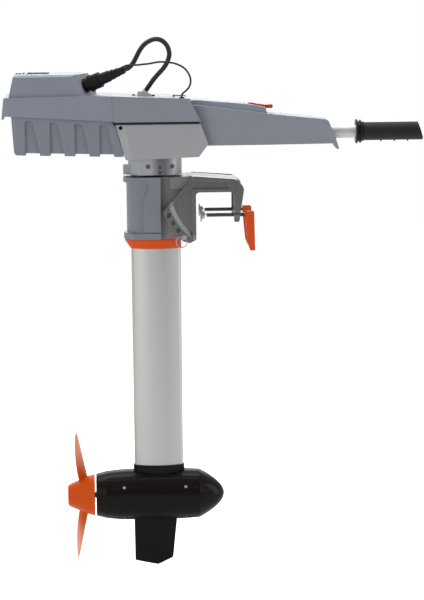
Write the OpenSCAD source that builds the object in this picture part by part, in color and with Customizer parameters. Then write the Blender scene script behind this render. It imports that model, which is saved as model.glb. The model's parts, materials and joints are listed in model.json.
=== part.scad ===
// Small electric outboard with tiller, battery and transom clamp
// Origin: middle of the transom seat under the clamp hook. +X towards the tiller, +Z up, millimetres.

/* [Shaft] */
// Transom seat down to the propeller axis
shaft_length = 625; // [610:1:700]
// Trim pin back to the steering axis
pin_offset = 55.5; // [54:0.5:60]
// Fore and aft length of the oval pylon tube
pylon_chord = 100; // [94:1:104]
// Side to side thickness of the oval pylon tube
pylon_thickness = 42; // [38:1:46]
// Radius of the pylon's leading and trailing edges
pylon_edge_r = 11; // [9:0.5:14]
// Wall of the pylon tube
pylon_wall = 3; // [2:0.5:5]
// Outer diameter of the round steering tube
steering_tube_d = 36; // [34:0.5:40]
// Wall of the steering tube
steering_tube_wall = 4; // [3:0.5:6]

/* [Clamp bracket] */
// Width of the transom slot
slot_width = 76; // [72:1:84]
// Overall width across both arms
clamp_width = 114; // [112:1:124]
// Thickness of each cast arm
arm_thickness = 12; // [10:0.5:13]
// Length of the front legs below the seat
front_leg = 60; // [58:1:70]
// Length of the rear legs below the seat
rear_leg = 95; // [92:1:98]
// Thickness of the seat plate
seat_thickness = 6; // [4:0.5:7]
// Thickness of the plate against the transom
rear_plate = 8; // [6:0.5:10]
// Height of the hook above the seat at its rear end
hook_rear = 33; // [32:0.5:36]
// Height of the hook above the seat at its front end
hook_front = 26; // [25:0.5:28]
// Depth of the recessed web in each arm
web_depth = 5.5; // [3:0.5:6.5]
// Border left around the recessed web
web_border = 7; // [5:0.5:9]

/* [Tilt and trim] */
// Tilt pivot forward of the seat centre
tilt_x = 40; // [39:0.5:42]
// Tilt pivot above the seat
tilt_z = 14; // [13:0.5:15]
// Diameter of the tilt pin
tilt_pin_d = 10; // [8:0.5:11]
// Radius of the row of trim holes about the tilt pivot
trim_radius = 145; // [143:0.5:147]
// Angle of the first trim hole below the horizontal
trim_first = 24; // [23:0.5:25]
// Angle between trim holes
trim_step = 7; // [6.5:0.25:7.5]
// Diameter of the trim pin
trim_pin_d = 8.4; // [7:0.1:9]
// Mean radius of the split ring on the trim pin
ring_r = 11; // [9:0.5:13]
// Wire diameter of the split ring
ring_wire = 1.8; // [1.4:0.1:2]

/* [Clamp screws] */
// Diameter of the clamp screws
screw_d = 8; // [7:0.5:10]
// Screw axes below the seat
screw_drop = 46; // [44:1:48]
// Open gap between a pad and the transom plate
pad_gap = 10; // [6:0.5:14]
// Diameter of a clamp pad
pad_d = 27; // [24:1:32]
// Thickness of a clamp pad's disc
pad_t = 2.5; // [2:0.25:4]
// Diameter of the ball in a pad
pad_ball_d = 10; // [9:0.5:11]
// Lever hinge to the lever's tip
lever_length = 72; // [60:1:80]
// Width of a lever at its hinge
lever_w = 18; // [16:0.5:20]
// Thickness of a lever
lever_t = 14; // [12:0.5:16]

/* [Swivel housing] */
// Radius of the housing's rounded back
column_r = 58; // [56:0.5:60]
// Half width across the housing's flat sides
column_half = 43; // [41:0.5:43.5]
// Housing above the seat
column_rise = 30; // [28:0.5:31]
// Housing below the seat
column_drop = 94.5; // [93:0.5:96]
// How far the end lips stand out at the back
lip_out = 6.4; // [4:0.2:8]
// Height of the upper lip
lip_top_h = 11; // [8:0.5:14]
// Height of the lower lip
lip_low_h = 12; // [8:0.5:14]
// Wall of the steering bushes
bush_wall = 4; // [3:0.25:5]
// Length of each steering bush
bush_len = 36; // [24:1:44]

/* [Collars] */
// Height of the orange thrust collar
thrust_h = 21.5; // [18:0.5:26]
// Side to side width of the thrust collar's top
thrust_width = 68; // [62:1:72]
// Radius of the metal head collar
head_collar_r = 54; // [50:0.5:56]
// Half width across the head collar's flat sides
head_collar_half = 42; // [40:0.5:44]
// Height of the metal head collar
head_collar_h = 32; // [28:0.5:36]
// Space between the housing and the head collar
head_gap = 4; // [3:0.25:6]

/* [Head] */
// Half width of the head frame
frame_half = 58; // [56:0.5:60]
// Wall of the head frame
frame_wall = 6; // [4:0.5:7]
// Height of the head frame
frame_h = 71; // [68:0.5:74]
// Depth of the sloped face at each rear corner of the frame
frame_bevel = 6; // [4:0.5:10]
// Width of that sloped face in side view
bevel_w = 16.5; // [12:0.5:20]
// Half width of the head cover
cover_half = 64; // [62.5:0.5:67]
// Wall of the head cover
cover_wall = 5; // [3.5:0.25:6]
// Height of the head cover at its back
cover_h = 51.5; // [49:0.5:55]
// Thickness of the seal under the cover
seal_t = 5; // [3:0.25:6]
// How far the seal stands out beyond the frame's sides
seal_out = 3; // [1:0.5:5]

/* [Battery] */
// Back of the battery behind the steering axis
battery_back = 303; // [290:1:320]
// Half width of the ribbed lower case at its back
case_half = 68; // [65:0.5:71]
// Half width of the lower case at its front
case_front_half = 54; // [51:0.5:57]
// Half width of the battery's rim at its back
rim_half = 76; // [73:0.5:80]
// Lower edge of the rim above the seat at its back
rim_z = 158; // [155:0.5:160]
// Height of the rim at its back
rim_h = 35.5; // [33:0.5:38]
// Height of the raised block on the battery
block_h = 43.5; // [40:0.5:48]
// Radius of the block's front corners
block_round = 16; // [10:1:20]
// Wall of the battery case
case_wall = 5; // [3:0.5:7]
// Number of scalloped recesses on each side
scallop_count = 4; // [3:1:5]
// Distance between scalloped recesses
scallop_pitch = 49; // [46:0.5:50]
// Width of a recess at its foot
scallop_w = 29; // [26:0.5:31]
// Depth of the scalloped recesses
scallop_depth = 5; // [3:0.25:6]
// Height of the feet under the case
foot_h = 4.5; // [3:0.5:6]

/* [Tiller] */
// Fold pivot forward of the steering axis
fold_x = 85; // [83:0.5:88]
// Fold pivot above the seat
fold_z = 100; // [98:0.5:102]
// Diameter of the fold pin
fold_pin_d = 12; // [9:0.5:14]
// Front end of the tiller's shell forward of the steering axis
tiller_reach = 364; // [350:1:390]
// Half width of the tiller at its root
tiller_half = 45; // [42:0.5:46]
// Half width of the tiller at its front end
tiller_tip_half = 29; // [24:0.5:34]
// Wall of the tiller's shell
tiller_wall = 4; // [3:0.25:6]
// Outer diameter of the tiller tube
tiller_tube_d = 26.5; // [24:0.5:28]
// Height of the tiller tube's axis above the seat
tiller_tube_z = 113.3; // [112:0.1:115]

/* [Throttle grip] */
// Length of the throttle grip
grip_length = 135; // [120:1:150]
// Diameter of the throttle grip
grip_d = 36.5; // [34:0.5:40]
// Diameter of the collar at the grip's inner end
grip_collar_d = 49; // [44:0.5:54]
// Length of the collar
grip_collar_w = 16; // [12:0.5:20]
// Shell end to the grip's collar
grip_gap = 45; // [30:1:60]

/* [Motor pod] */
// Diameter of the motor pod
pod_d = 104; // [100:0.5:112]
// Pod's rear end behind the steering axis
pod_back = 129; // [124:1:136]
// Joint of the nose cap forward of the steering axis
nose_joint = 46; // [44:1:52]
// Pod's tip forward of the steering axis
pod_front = 133; // [126:0.5:142]
// Wall of the motor pod
pod_wall = 8; // [7:0.5:9]
// Depth of the fin below the pod
fin_depth = 95; // [80:1:105]
// Greatest thickness of the fin
fin_t = 14; // [10:0.5:18]
// Diameter of the propeller shaft
shaft_d = 12; // [10:0.5:13]

/* [Propeller] */
// Diameter of the propeller
prop_d = 262; // [240:1:290]
// Diameter of the hub at the pod
hub_d = 86; // [80:0.5:90]
// Diameter of the hub's small end
hub_tip_d = 45; // [40:0.5:50]
// Length of the hub
hub_length = 55; // [50:0.5:60]
// Advance of the blades in one turn
blade_pitch = 180; // [150:5:260]
// Greatest chord of a blade
blade_chord = 43; // [36:1:48]
// Thickness of a blade at its root
blade_root_t = 9; // [6:0.5:10]

/* [Connector] */
// Diameter of the battery socket
socket_d = 25; // [22:0.5:28]
// Diameter of the plug's ring nut
plug_nut_d = 31; // [28:0.5:34]
// Diameter of the power cable
power_cable_d = 9.5; // [7:0.5:10]
// Diameter of the data cable
data_cable_d = 3.8; // [3:0.1:4.5]

/* [Fits] */
// Radial clearance of turning pins and shafts
run_clear = 0.05; // [0.02:0.01:0.1]
// Gap between faces that pass each other
pass_gap = 0.4; // [0.3:0.05:0.6]
// Gap at the seam between the battery and the head cover
seam_gap = 0.1; // [0.05:0.05:0.3]

/* [Hidden] */
$fn = 64;
over = 1;
prop_z = -shaft_length;
slot_half = slot_width / 2;
arm_out = clamp_width / 2;
arm_in = arm_out - arm_thickness;

// Trim quadrant
trim_count = 4;
trim_hole_d = trim_pin_d + 0.6;
flange_r = trim_radius + 8;
rim_r = trim_radius - 16;
trim_rest = trim_first + trim_step * (trim_count - 1);
trim_pin_x = tilt_x - trim_radius * cos(trim_rest);
trim_pin_z = tilt_z - trim_radius * sin(trim_rest);
axis_x = trim_pin_x - pin_offset;

// Swivel housing
column_top = column_rise;
column_low = -column_drop;
panel_front = axis_x + 10;
block_front = trim_pin_x - trim_pin_d / 2 - pass_gap;
block_half = column_half - 10;
bush_r = steering_tube_d / 2 + bush_wall;

// Pylon and thrust collar
thrust_top = column_low - pass_gap;
thrust_low = thrust_top - thrust_h;
pylon_top = thrust_top - 5;
pod_r = pod_d / 2;
neck_top = prop_z + pod_r + 11;
pylon_low = neck_top - 10;

// Head
head_collar_z = column_top + head_gap;
frame_low = head_collar_z + head_collar_h;
frame_top = frame_low + frame_h;
frame_rise = 5;
frame_floor = frame_low + frame_wall + 2;
cover_low = frame_top + seal_t;
back_low = axis_x - 59;
back_top = axis_x - 79;
front_low = axis_x + 87;
front_mid = axis_x + 106;
front_top = axis_x + 91;
cover_back = axis_x - 85;
cover_front = axis_x + 68;
cover_drop = 6;
cover_top = cover_low + cover_h;
notch_half = tiller_half + 3;
notch_back = axis_x + 38;
function frame_under(x) = frame_low + frame_rise * (x - back_low) / (front_low - back_low);
function frame_back(z) = back_low + (back_top - back_low) * (z - frame_low) / frame_h;
function cover_edge(z) = cover_back + 4 * (1 - (z - cover_low) / cover_h);
function cover_z(x) = cover_top - cover_drop * (x - cover_back) / (cover_front - cover_back);

// Battery
battery_x = axis_x - battery_back;
rim_top = rim_z + rim_h;
block_top = rim_top + block_h;
case_low_back = 80;
case_low_front = frame_low + 6.5;
case_floor = case_low_back + case_wall + 3;
cavity_back = battery_x + 31;
cavity_front = cover_back - 16;
battery_run = cover_back - battery_x;
rim_taper = atan2(rim_half - cover_half, battery_run);
lug_x = axis_x - 68;
lug_z = frame_top - 6.5;
lug_pin_d = 8;
lug_half = frame_half - frame_wall - frame_bevel - 4;
function rim_low(x) = rim_z + (cover_low + 2 - rim_z) * (x - battery_x) / battery_run;
function rim_y(x) = rim_half + (cover_half - rim_half) * (x - battery_x) / battery_run;
function case_y(x) = case_half + (case_front_half - case_half) * (x - battery_x) / battery_run;
function case_low(x) =
    let (x0 = battery_x + 24)
    case_low_back + (case_low_front - case_low_back) * (x - x0) / (frame_back(case_low_front) - x0);

// Connector and cords
plug_from = [-254, -30, 214];
plug_to = [-178, -66, 246];
data_start = [-182, -70, 251];
power_route = [
    plug_to, [-168.5, -70.5, 250], [-160, -71, 259], [-153, -69, 271], [-146, -66, 284],
    [-137, -61, 295], [-126, -56, 302], [-115, -50, 305], [-104, -45, 303], [-95, -41, 296],
    [-89, -37, 286], [-87, -33, 273], [-91, -29, 259], [-99, -26, 246], [-110, -22, 234],
    [-120, -18, 222], [-127, -15, 212], [-134, -12, 202]
];
data_route = [
    data_start, [-172.5, -74.5, 255], [-163, -79, 256], [-152, -79, 256], [-140, -77, 257],
    [-128, -74, 258], [-116, -72, 260], [-104, -70, 261], [-92, -67, 260], [-80, -64, 258],
    [-69, -61, 254], [-59, -58, 248], [-52, -56, 240], [-47, -55, 230], [-46, -54, 220],
    [-49, -53, 210], [-56, -52, 202], [-62, -52, 197], [-64, -52, 193], [-64, -52, 190]
];
plug_axis = plug_to - plug_from;
plug_len = norm(plug_axis);
plug_rise = asin(plug_axis.z / plug_len);
plug_turn = atan2(plug_axis.y, plug_axis.x);
gland_end = power_route[len(power_route) - 1];
gland_axis = power_route[len(power_route) - 2] - gland_end;
grommet_end = data_route[len(data_route) - 1];

// Tiller
fold_px = axis_x + fold_x;
tiller_end = axis_x + tiller_reach;
tiller_low = 92;
ridge_back = 172.5;
ridge_mid = 154.5;
ridge_front = 140;
hump_x = axis_x + 222;
hump_back = 182.5;
hump_front = 166;
grip_x = tiller_end + grip_gap - tiller_wall;
root_r = norm([notch_back - fold_px, cover_z(notch_back) - cover_wall - fold_z]) - 2 * pass_gap;
root_z = cover_z(notch_back) - 2.5;

// Motor and propeller
pod_x0 = axis_x - pod_back;
pod_x1 = axis_x + nose_joint;
pod_x2 = axis_x + pod_front;
cavity_r = pod_r - pod_wall;
bearing_d = shaft_d + 14;
hub_x1 = pod_x0 - 3;
hub_x0 = hub_x1 - hub_length;
screw_angles = [62, 148, 212, 298];

// Outline helpers
function unit(v) = v / norm(v);
function corner(a, p, b, r, n) =
    r <= 0 ? [p] :
    let (
        u = unit(a - p),
        v = unit(b - p),
        half = acos(u * v) / 2,
        c = p + unit(u + v) * r / sin(half),
        s = unit(p + u * r / tan(half) - c),
        e = unit(p + v * r / tan(half) - c),
        turn = 180 - 2 * half
    )
    [for (k = [0 : n]) c + r * (sin(turn * (1 - k / n)) * s + sin(turn * k / n) * e) / sin(turn)];
function rounded(pts, radii, n = 6) =
    let (m = len(pts))
    [for (i = [0 : m - 1]) each corner(pts[(i + m - 1) % m], pts[i], pts[(i + 1) % m], radii[i], n)];
function arc(c, r, a0, a1, n) = [for (k = [0 : n]) let (a = a0 + (a1 - a0) * k / n) c + r * [cos(a), sin(a)]];

// An XZ outline drawn out along Y, and a YZ outline drawn out along X
module across(y0, y1) {
    translate([0, y1, 0]) rotate([90, 0, 0]) linear_extrude(y1 - y0) children();
}
module along(x0, x1) {
    translate([x0, 0, 0]) rotate([90, 0, 90]) linear_extrude(x1 - x0) children();
}
module rod_y(d, y0, y1) {
    translate([0, y1, 0]) rotate([90, 0, 0]) cylinder(d = d, h = y1 - y0);
}
module rod_x(d, x0, x1) {
    translate([x0, 0, 0]) rotate([0, 90, 0]) cylinder(d = d, h = x1 - x0);
}
module turned_x(profile) {
    rotate([0, 90, 0]) rotate([0, 0, 90]) rotate_extrude() polygon([for (p = profile) [p[1], p[0]]]);
}
module both_sides() {
    children();
    mirror([0, 1, 0]) children();
}
module at_far(far) {
    mirror([0, far ? 1 : 0, 0]) children();
}

// Oval of two side arcs and two end arcs, centred on the origin
module oval(chord, thick, edge_r) {
    a = chord / 2 - edge_r;
    b = thick / 2 - edge_r;
    h = (a * a - b * b) / (2 * b);
    big = thick / 2 + h;
    xt = a + edge_r * a / (big - edge_r);
    intersection() {
        translate([0, -h]) circle(r = big, $fn = 128);
        translate([0, h]) circle(r = big, $fn = 128);
        square([2 * xt, 2 * thick], center = true);
    }
    for (s = [-1, 1]) translate([s * a, 0]) circle(r = edge_r, $fn = 48);
}

// The same oval as a run of points
function oval_points(chord, thick, edge_r, n) =
    let (
        a = chord / 2 - edge_r,
        b = thick / 2 - edge_r,
        h = (a * a - b * b) / (2 * b),
        t = atan2(h, a)
    )
    concat(
        arc([a, 0], edge_r, -t, t, n), arc([0, -h], thick / 2 + h, t, 180 - t, n),
        arc([-a, 0], edge_r, 180 - t, 180 + t, n), arc([0, h], thick / 2 + h, t - 180, -t, n)
    );

// Box that stays on one side of the flats of a turned form
module flats(half, x0, x1, z0, z1) {
    translate([x0, -half, z0]) cube([x1 - x0, 2 * half, z1 - z0]);
}

// Tube of n sides swept along a route
module swept(route, d, n) {
    m = len(route);
    function heading(i) = unit(route[min(i + 1, m - 1)] - route[max(i - 1, 0)]);
    pts = [for (i = [0 : m - 1])
        let (t = heading(i), u = unit(cross(t, [0, 1, 0])), v = cross(t, u))
        for (k = [0 : n - 1]) route[i] + d / 2 * (cos(360 * k / n) * u + sin(360 * k / n) * v)];
    sides = [for (i = [0 : m - 2], k = [0 : n - 1])
        let (a = i * n + k, b = i * n + (k + 1) % n)
        each [[a, a + n, b], [b, a + n, b + n]]];
    caps = [[for (k = [0 : n - 1]) k], [for (k = [n - 1 : -1 : 0]) (m - 1) * n + k]];
    polyhedron(pts, concat(sides, caps));
}

// Clamp bracket

diag_low = [tilt_x - flange_r * cos(trim_first - 4.2), tilt_z - flange_r * sin(trim_first - 4.2)];
diag_top = [-slot_half - 11, hook_rear];

module arm_outline() {
    quadrant = arc([tilt_x, tilt_z], flange_r, 180 + trim_rest + 2, 180 + trim_first - 4.2, 10);
    body = [
        diag_top, [slot_half + 4, hook_front], [slot_half + 21, tilt_z - 5], [slot_half + 10, -front_leg],
        [slot_half, -front_leg], [slot_half, 0], [-slot_half, 0], [-slot_half, -rear_leg],
        [-slot_half - 13, -rear_leg - 6.5]
    ];
    polygon(concat(rounded(concat(body, [quadrant[0]]), [9, 16, 16, 2, 2, 7, 7, 3, 4, 0]), quadrant));
}

module web_outline() {
    u = unit(diag_top - diag_low);
    inward = web_border * [u.y, -u.x];
    polygon([
        diag_low + inward - 30 * u,
        diag_top + inward - web_border * u,
        [slot_half - 10, hook_front - web_border + 1.5],
        [slot_half - 10, web_border],
        [-slot_half - web_border, web_border],
        [-slot_half - web_border, -rear_leg - 20],
        [-slot_half - 80, -rear_leg - 20]
    ]);
}

module clamp_bracket() {
    seat_front = tilt_x - 16;
    cut_h = web_depth + over;
    color("dimgray")
    difference() {
        union() {
            both_sides() across(arm_in, arm_out) arm_outline();
            across(-arm_in - over, arm_in + over) polygon(rounded([
                [-slot_half - rear_plate, -rear_leg], [-slot_half, -rear_leg], [-slot_half, 0],
                [seat_front, 0], [seat_front, seat_thickness], [-slot_half - rear_plate, seat_thickness]
            ], [0, 0, 7, 0, 0, 0]));
            both_sides() translate([0, arm_out - arm_thickness / 2, -screw_drop])
                rod_x(screw_d + 12, slot_half, slot_half + 11.5);
        }
        both_sides() intersection() {
            across(arm_out - web_depth, arm_out + over) web_outline();
            translate([tilt_x, arm_out - web_depth, tilt_z]) rotate([-90, 0, 0])
                cylinder(r1 = rim_r, r2 = rim_r + 9 * cut_h / web_depth, h = cut_h, $fn = 128);
        }
        translate([tilt_x, 0, tilt_z]) rod_y(tilt_pin_d + 2 * run_clear, -arm_out - over, arm_out + over);
        for (k = [0 : trim_count - 1]) {
            a = trim_first + k * trim_step;
            translate([tilt_x - trim_radius * cos(a), 0, tilt_z - trim_radius * sin(a)])
                rod_y(trim_hole_d, -arm_out - over, arm_out + over);
        }
        both_sides() translate([0, arm_out - arm_thickness / 2, -screw_drop])
            rod_x(screw_d + 2 * run_clear, slot_half - over, slot_half + 25);
    }
}

module tilt_pin() {
    head = 1.2;
    color("gray") translate([tilt_x, 0, tilt_z]) {
        rod_y(tilt_pin_d, -arm_out, arm_out);
        both_sides() rod_y(tilt_pin_d + 3, arm_out, arm_out + head);
    }
}

// Trim pin with its split ring

ring_y = -arm_out - 5;

module trim_pin() {
    color("silver") translate([trim_pin_x, 0, trim_pin_z]) difference() {
        union() {
            rod_y(trim_pin_d, ring_y - 4, arm_out + 4);
            rod_y(trim_pin_d + 4, -arm_out - 1.5, -arm_out - pass_gap);
        }
        translate([0, ring_y, 0]) rotate([0, 28, 0]) rod_x(ring_wire + 2.2, -trim_pin_d, trim_pin_d);
    }
}

module trim_ring() {
    color("gainsboro") translate([trim_pin_x, ring_y, trim_pin_z]) rotate([0, 28, 0])
        translate([0, 0, -ring_r]) rotate([90, 0, 0])
        rotate_extrude() translate([ring_r, 0]) circle(d = ring_wire, $fn = 24);
}

// Clamp screws, one on each side

screw_y = -arm_out + arm_thickness / 2;
pad_face = -slot_half + pad_gap;
ball_x = pad_face + pad_t + 3;
pad_hub_end = ball_x + 2;
screw_start = ball_x + 6;
hinge_x = slot_half + 31;
fork_t = lever_t - 8;
pin_skin = 2;

module at_screw(far) {
    at_far(far) translate([0, screw_y, -screw_drop]) children();
}

module pad_ball(far) {
    color("silver") at_screw(far) difference() {
        union() {
            translate([ball_x, 0, 0]) rotate([0, 90, 0]) sphere(d = pad_ball_d);
            rod_x(pad_ball_d - 3, ball_x, screw_start - 0.2);
        }
        rod_x(4 + 2 * run_clear, ball_x - 1, screw_start + over);
    }
}

module clamp_pad(far) {
    r = pad_d / 2;
    hub_r = pad_ball_d / 2 + 2;
    back = pad_face + pad_t;
    color("lightgray") at_screw(far) difference() {
        turned_x([
            [pad_face, 0], [pad_face, r - 5], [pad_face - 1, r], [pad_face - 1 + pad_t * 0.6, r], [back, r - 5],
            [back, hub_r + 1], [pad_hub_end, hub_r], [pad_hub_end, 0]
        ]);
        translate([ball_x, 0, 0]) rotate([0, 90, 0]) sphere(d = pad_ball_d + 0.2);
        rod_x(pad_ball_d - 1, ball_x, pad_hub_end + over);
    }
}

module clamp_screw(far) {
    neck_end = hinge_x - lever_w / 2 - 4;
    color("dimgray") at_screw(far) difference() {
        union() {
            rod_x(4, ball_x, screw_start);
            rod_x(screw_d, screw_start, neck_end);
            translate([hinge_x, 0, 0]) rod_y(lever_w - 5, -fork_t / 2, fork_t / 2);
            translate([neck_end - over, -fork_t / 2, -screw_d / 2 + 1])
                cube([hinge_x - neck_end + over, fork_t, screw_d - 2]);
        }
        translate([hinge_x, 0, 0]) rod_y(4 + 2 * run_clear, -lever_t, lever_t);
    }
}

module lever(far) {
    top = lever_w / 2 - 2;
    tip = -lever_length;
    color("orangered") at_screw(far) translate([hinge_x, 0, 0]) difference() {
        across(-lever_t / 2, lever_t / 2) polygon(rounded([
            [-lever_w / 2, top], [-lever_w / 2, 0], [-lever_w / 2 + 5, tip + 16], [-lever_w / 2 + 6, tip + 10],
            [-lever_w / 2 + 9.5, tip], [lever_w / 2 + 1.5, tip], [lever_w / 2, 0], [lever_w / 2, top]
        ], [2.5, 0, 0, 0, 1.5, 1.5, 0, 2.5]));
        translate([-lever_w, -fork_t / 2 - pass_gap, -lever_w / 2 - 1])
            cube([3 * lever_w, fork_t + 2 * pass_gap, 2 * lever_w]);
        rod_y(4, -lever_t / 2 + pin_skin, lever_t / 2 - pin_skin);
    }
}

module lever_pin(far) {
    color("silver") at_screw(far) translate([hinge_x, 0, 0])
        rod_y(4, -lever_t / 2 + pin_skin, lever_t / 2 - pin_skin);
}

// Swivel housing with its steering bushes

module column_form(r, half, x1, z0, z1) {
    intersection() {
        translate([axis_x, 0, z0]) cylinder(r = r, h = z1 - z0, $fn = 128);
        flats(half, axis_x - 2 * r, x1, z0, z1);
    }
}

module swivel_housing() {
    tongue_low = seat_thickness + pass_gap;
    boss_r = tilt_pin_d / 2 + 5.5;
    tongue_half = arm_in - 0.6;
    panel_x0 = axis_x - 25;
    low = column_low + lip_low_h;
    top = column_top - lip_top_h;
    color("slategray") difference() {
        union() {
            column_form(column_r, column_half, panel_front, column_low, column_top);
            column_form(column_r + lip_out, column_half + 3, panel_front, column_top - lip_top_h, column_top);
            column_form(column_r + lip_out, column_half + 3, panel_front, column_low, column_low + lip_low_h);
            flats(block_half, axis_x, block_front, column_low, column_top);
            both_sides() across(column_half - over, column_half + 2.5) polygon(rounded([
                [panel_x0, low + 2], [panel_front, low + 2], [panel_front, top + 1], [panel_x0 + 10, top + 1],
                [panel_x0 + 12, top - 10], [panel_x0, top - 32]
            ], [9, 0, 0, 0, 6, 8]));
            across(-tongue_half, tongue_half) polygon([
                [block_front - 22, tongue_low], [block_front - 22, column_top], [block_front, column_top],
                [diag_top.x, hook_rear - 1], [tilt_x, tilt_z + boss_r], [tilt_x, tongue_low]
            ]);
            translate([tilt_x, 0, tilt_z]) rod_y(2 * boss_r, -tongue_half, tongue_half);
        }
        translate([axis_x, 0, column_low - over]) cylinder(r = bush_r, h = column_top - column_low + 2 * over);
        translate([axis_x, 0, column_low + bush_len])
            cylinder(r = bush_r + 3, h = column_top - column_low - 2 * bush_len);
        translate([tilt_x, 0, tilt_z]) rod_y(tilt_pin_d + 2 * run_clear, -arm_out, arm_out);
    }
}

module bush_upper() {
    high = bush_len + head_gap - 0.1;
    color("black") translate([axis_x, 0, column_top - bush_len]) difference() {
        cylinder(r = bush_r, h = high);
        translate([0, 0, -over]) cylinder(d = steering_tube_d + 2 * run_clear, h = high + 2 * over);
    }
}

module bush_lower() {
    color("black") translate([axis_x, 0, column_low]) difference() {
        cylinder(r = bush_r, h = bush_len);
        translate([0, 0, -over]) cylinder(d = steering_tube_d + 2 * run_clear, h = bush_len + 2 * over);
    }
}

// Steered shaft: tube, thrust collar, pylon and head collar

module steering_tube() {
    high = frame_floor - pylon_top;
    color("silver") translate([axis_x, 0, pylon_top]) difference() {
        cylinder(d = steering_tube_d, h = high);
        translate([0, 0, -over]) cylinder(d = steering_tube_d - 2 * steering_tube_wall, h = high + 2 * over);
    }
}

module thrust_collar() {
    skin = 1.5;
    lip = 14;
    slice = 0.5;
    color("orangered") translate([axis_x, 0, 0]) difference() {
        hull() {
            translate([0, 0, thrust_low]) linear_extrude(slice)
                oval(pylon_chord + 2 * skin, pylon_thickness + 4, pylon_edge_r + skin, $fn = 32);
            translate([-lip / 2 + 1, 0, thrust_top - 4]) linear_extrude(4)
                oval(pylon_chord + lip, thrust_width, pylon_edge_r + 8, $fn = 32);
        }
        translate([0, 0, pylon_top]) cylinder(d = steering_tube_d, h = thrust_h);
        translate([0, 0, thrust_low - over]) linear_extrude(pylon_top - thrust_low + over)
            oval(pylon_chord, pylon_thickness, pylon_edge_r);
    }
}

module pylon() {
    color("gainsboro") translate([axis_x, 0, pylon_low]) linear_extrude(pylon_top - pylon_low) difference() {
        oval(pylon_chord, pylon_thickness, pylon_edge_r);
        oval(pylon_chord - 2 * pylon_wall, pylon_thickness - 2 * pylon_wall, pylon_edge_r - pylon_wall);
    }
}

collar_screw_x = [axis_x - 14.5, axis_x + 33.5];
collar_screw_z = head_collar_z + head_collar_h * 0.56;
screw_sink = 7.5;

module head_collar() {
    top = frame_low + frame_rise;
    high = top - head_collar_z + 2 * over;
    color("gray") difference() {
        union() {
            column_form(head_collar_r, head_collar_half, axis_x + head_collar_r, head_collar_z, top);
            translate([axis_x - head_collar_r - 10, -11, head_collar_z]) cube([24, 22, head_collar_h * 0.6]);
        }
        across(-head_collar_r, head_collar_r) polygon([
            [back_low, frame_low], [front_low, top], [front_low, top + over], [back_low, top + over]
        ]);
        translate([axis_x, 0, head_collar_z - over]) cylinder(d = steering_tube_d, h = high);
        translate([axis_x - head_collar_r - 20, -1, head_collar_z - over]) cube([head_collar_r + 20, 2, high]);
        for (x = collar_screw_x) translate([x, 0, collar_screw_z]) both_sides() {
            rod_y(9, head_collar_half - screw_sink, head_collar_half + over);
            rod_y(5, head_collar_half - screw_sink - 8.5, head_collar_half);
        }
        for (z = [6, 15.5]) translate([axis_x + 9.3, 0, head_collar_z + z])
            both_sides() rod_y(5, head_collar_half - 6, head_collar_half + over);
    }
}

module collar_screws() {
    seat = head_collar_half - screw_sink;
    color("black") for (x = collar_screw_x) translate([x, 0, collar_screw_z]) both_sides() difference() {
        union() {
            rod_y(9, seat, seat + 3.5);
            rod_y(5, seat - 8.5, seat);
        }
        rod_y(4, seat + 1.5, seat + 5, $fn = 6);
    }
}

// Head: frame, seal, cover and what they carry

module frame_side() {
    polygon(rounded([
        [back_top, frame_top], [back_low, frame_low], [front_low, frame_low + frame_rise],
        [front_mid, frame_low + 30.5], [front_top, frame_top]
    ], [0, 4, 4, 5, 0]));
}

// What lies outside the sloped face at the near rear corner, moved inward by inset
module frame_corner(inset) {
    lean = atan2(back_top - back_low, frame_h);
    turn = atan2(frame_bevel, bevel_w * cos(lean));
    translate([back_low, 0, frame_low]) rotate([0, lean, 0])
        translate([0, -frame_half + frame_bevel, -60]) rotate([0, 0, -turn])
        translate([-80, -80 + inset, 0]) cube([200, 80, frame_h + 160]);
}

module head_frame() {
    inner = frame_half - frame_wall;
    boss_x = lug_x + lug_pin_d / 2 + 4;
    boss_z = lug_z - 14;
    slot_y = inner - frame_bevel;
    color("darkgray") difference() {
        across(-frame_half, frame_half) frame_side();
        both_sides() frame_corner(0);
        difference() {
            across(-inner, inner) polygon([
                [boss_x, frame_top + over], [boss_x, boss_z], [frame_back(boss_z) + frame_wall, boss_z],
                [frame_back(frame_floor) + frame_wall, frame_floor], [front_mid + over, frame_floor],
                [front_mid + over, frame_top + over]
            ]);
            both_sides() frame_corner(frame_wall);
        }
        translate([axis_x, 0, frame_low - over])
            cylinder(d = steering_tube_d, h = frame_floor - frame_low + 2 * over);
        translate([fold_px, 0, fold_z]) rod_y(fold_pin_d, -inner - 3, inner + 3);
        translate([lug_x, 0, lug_z]) rod_y(lug_pin_d, -frame_half - over, frame_half + over);
        translate([back_top - over, -slot_y, lug_z - 13]) cube([30, 2 * slot_y, 40]);
    }
}

module head_seal() {
    inner = frame_half - frame_wall;
    half = frame_half + seal_out;
    color("black") difference() {
        translate([cover_back + 3, -half, frame_top]) cube([front_top - cover_back - 6, 2 * half, seal_t]);
        translate([cover_back + 3 + frame_wall + 6, -inner, frame_top - over])
            cube([front_top - cover_back, 2 * inner, seal_t + 2 * over]);
    }
}

module cover_side(inset) {
    polygon(rounded([
        [cover_back + 4 + inset, cover_low - (inset > 0 ? over : 0)],
        [front_top + 1 - inset, cover_low - (inset > 0 ? over : 0)],
        [cover_front - inset, cover_z(cover_front) - inset],
        [cover_back + inset, cover_z(cover_back) - inset]
    ], [0, 0, 12, 0.6]));
}

module cover_end(inset) {
    draft = 1;
    polygon(rounded([
        [-cover_half + inset, cover_low - over], [cover_half - inset, cover_low - over],
        [cover_half - inset - draft, cover_top + 0.2], [-cover_half + inset + draft, cover_top + 0.2]
    ], [0, 0, 3, 3]));
}

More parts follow.
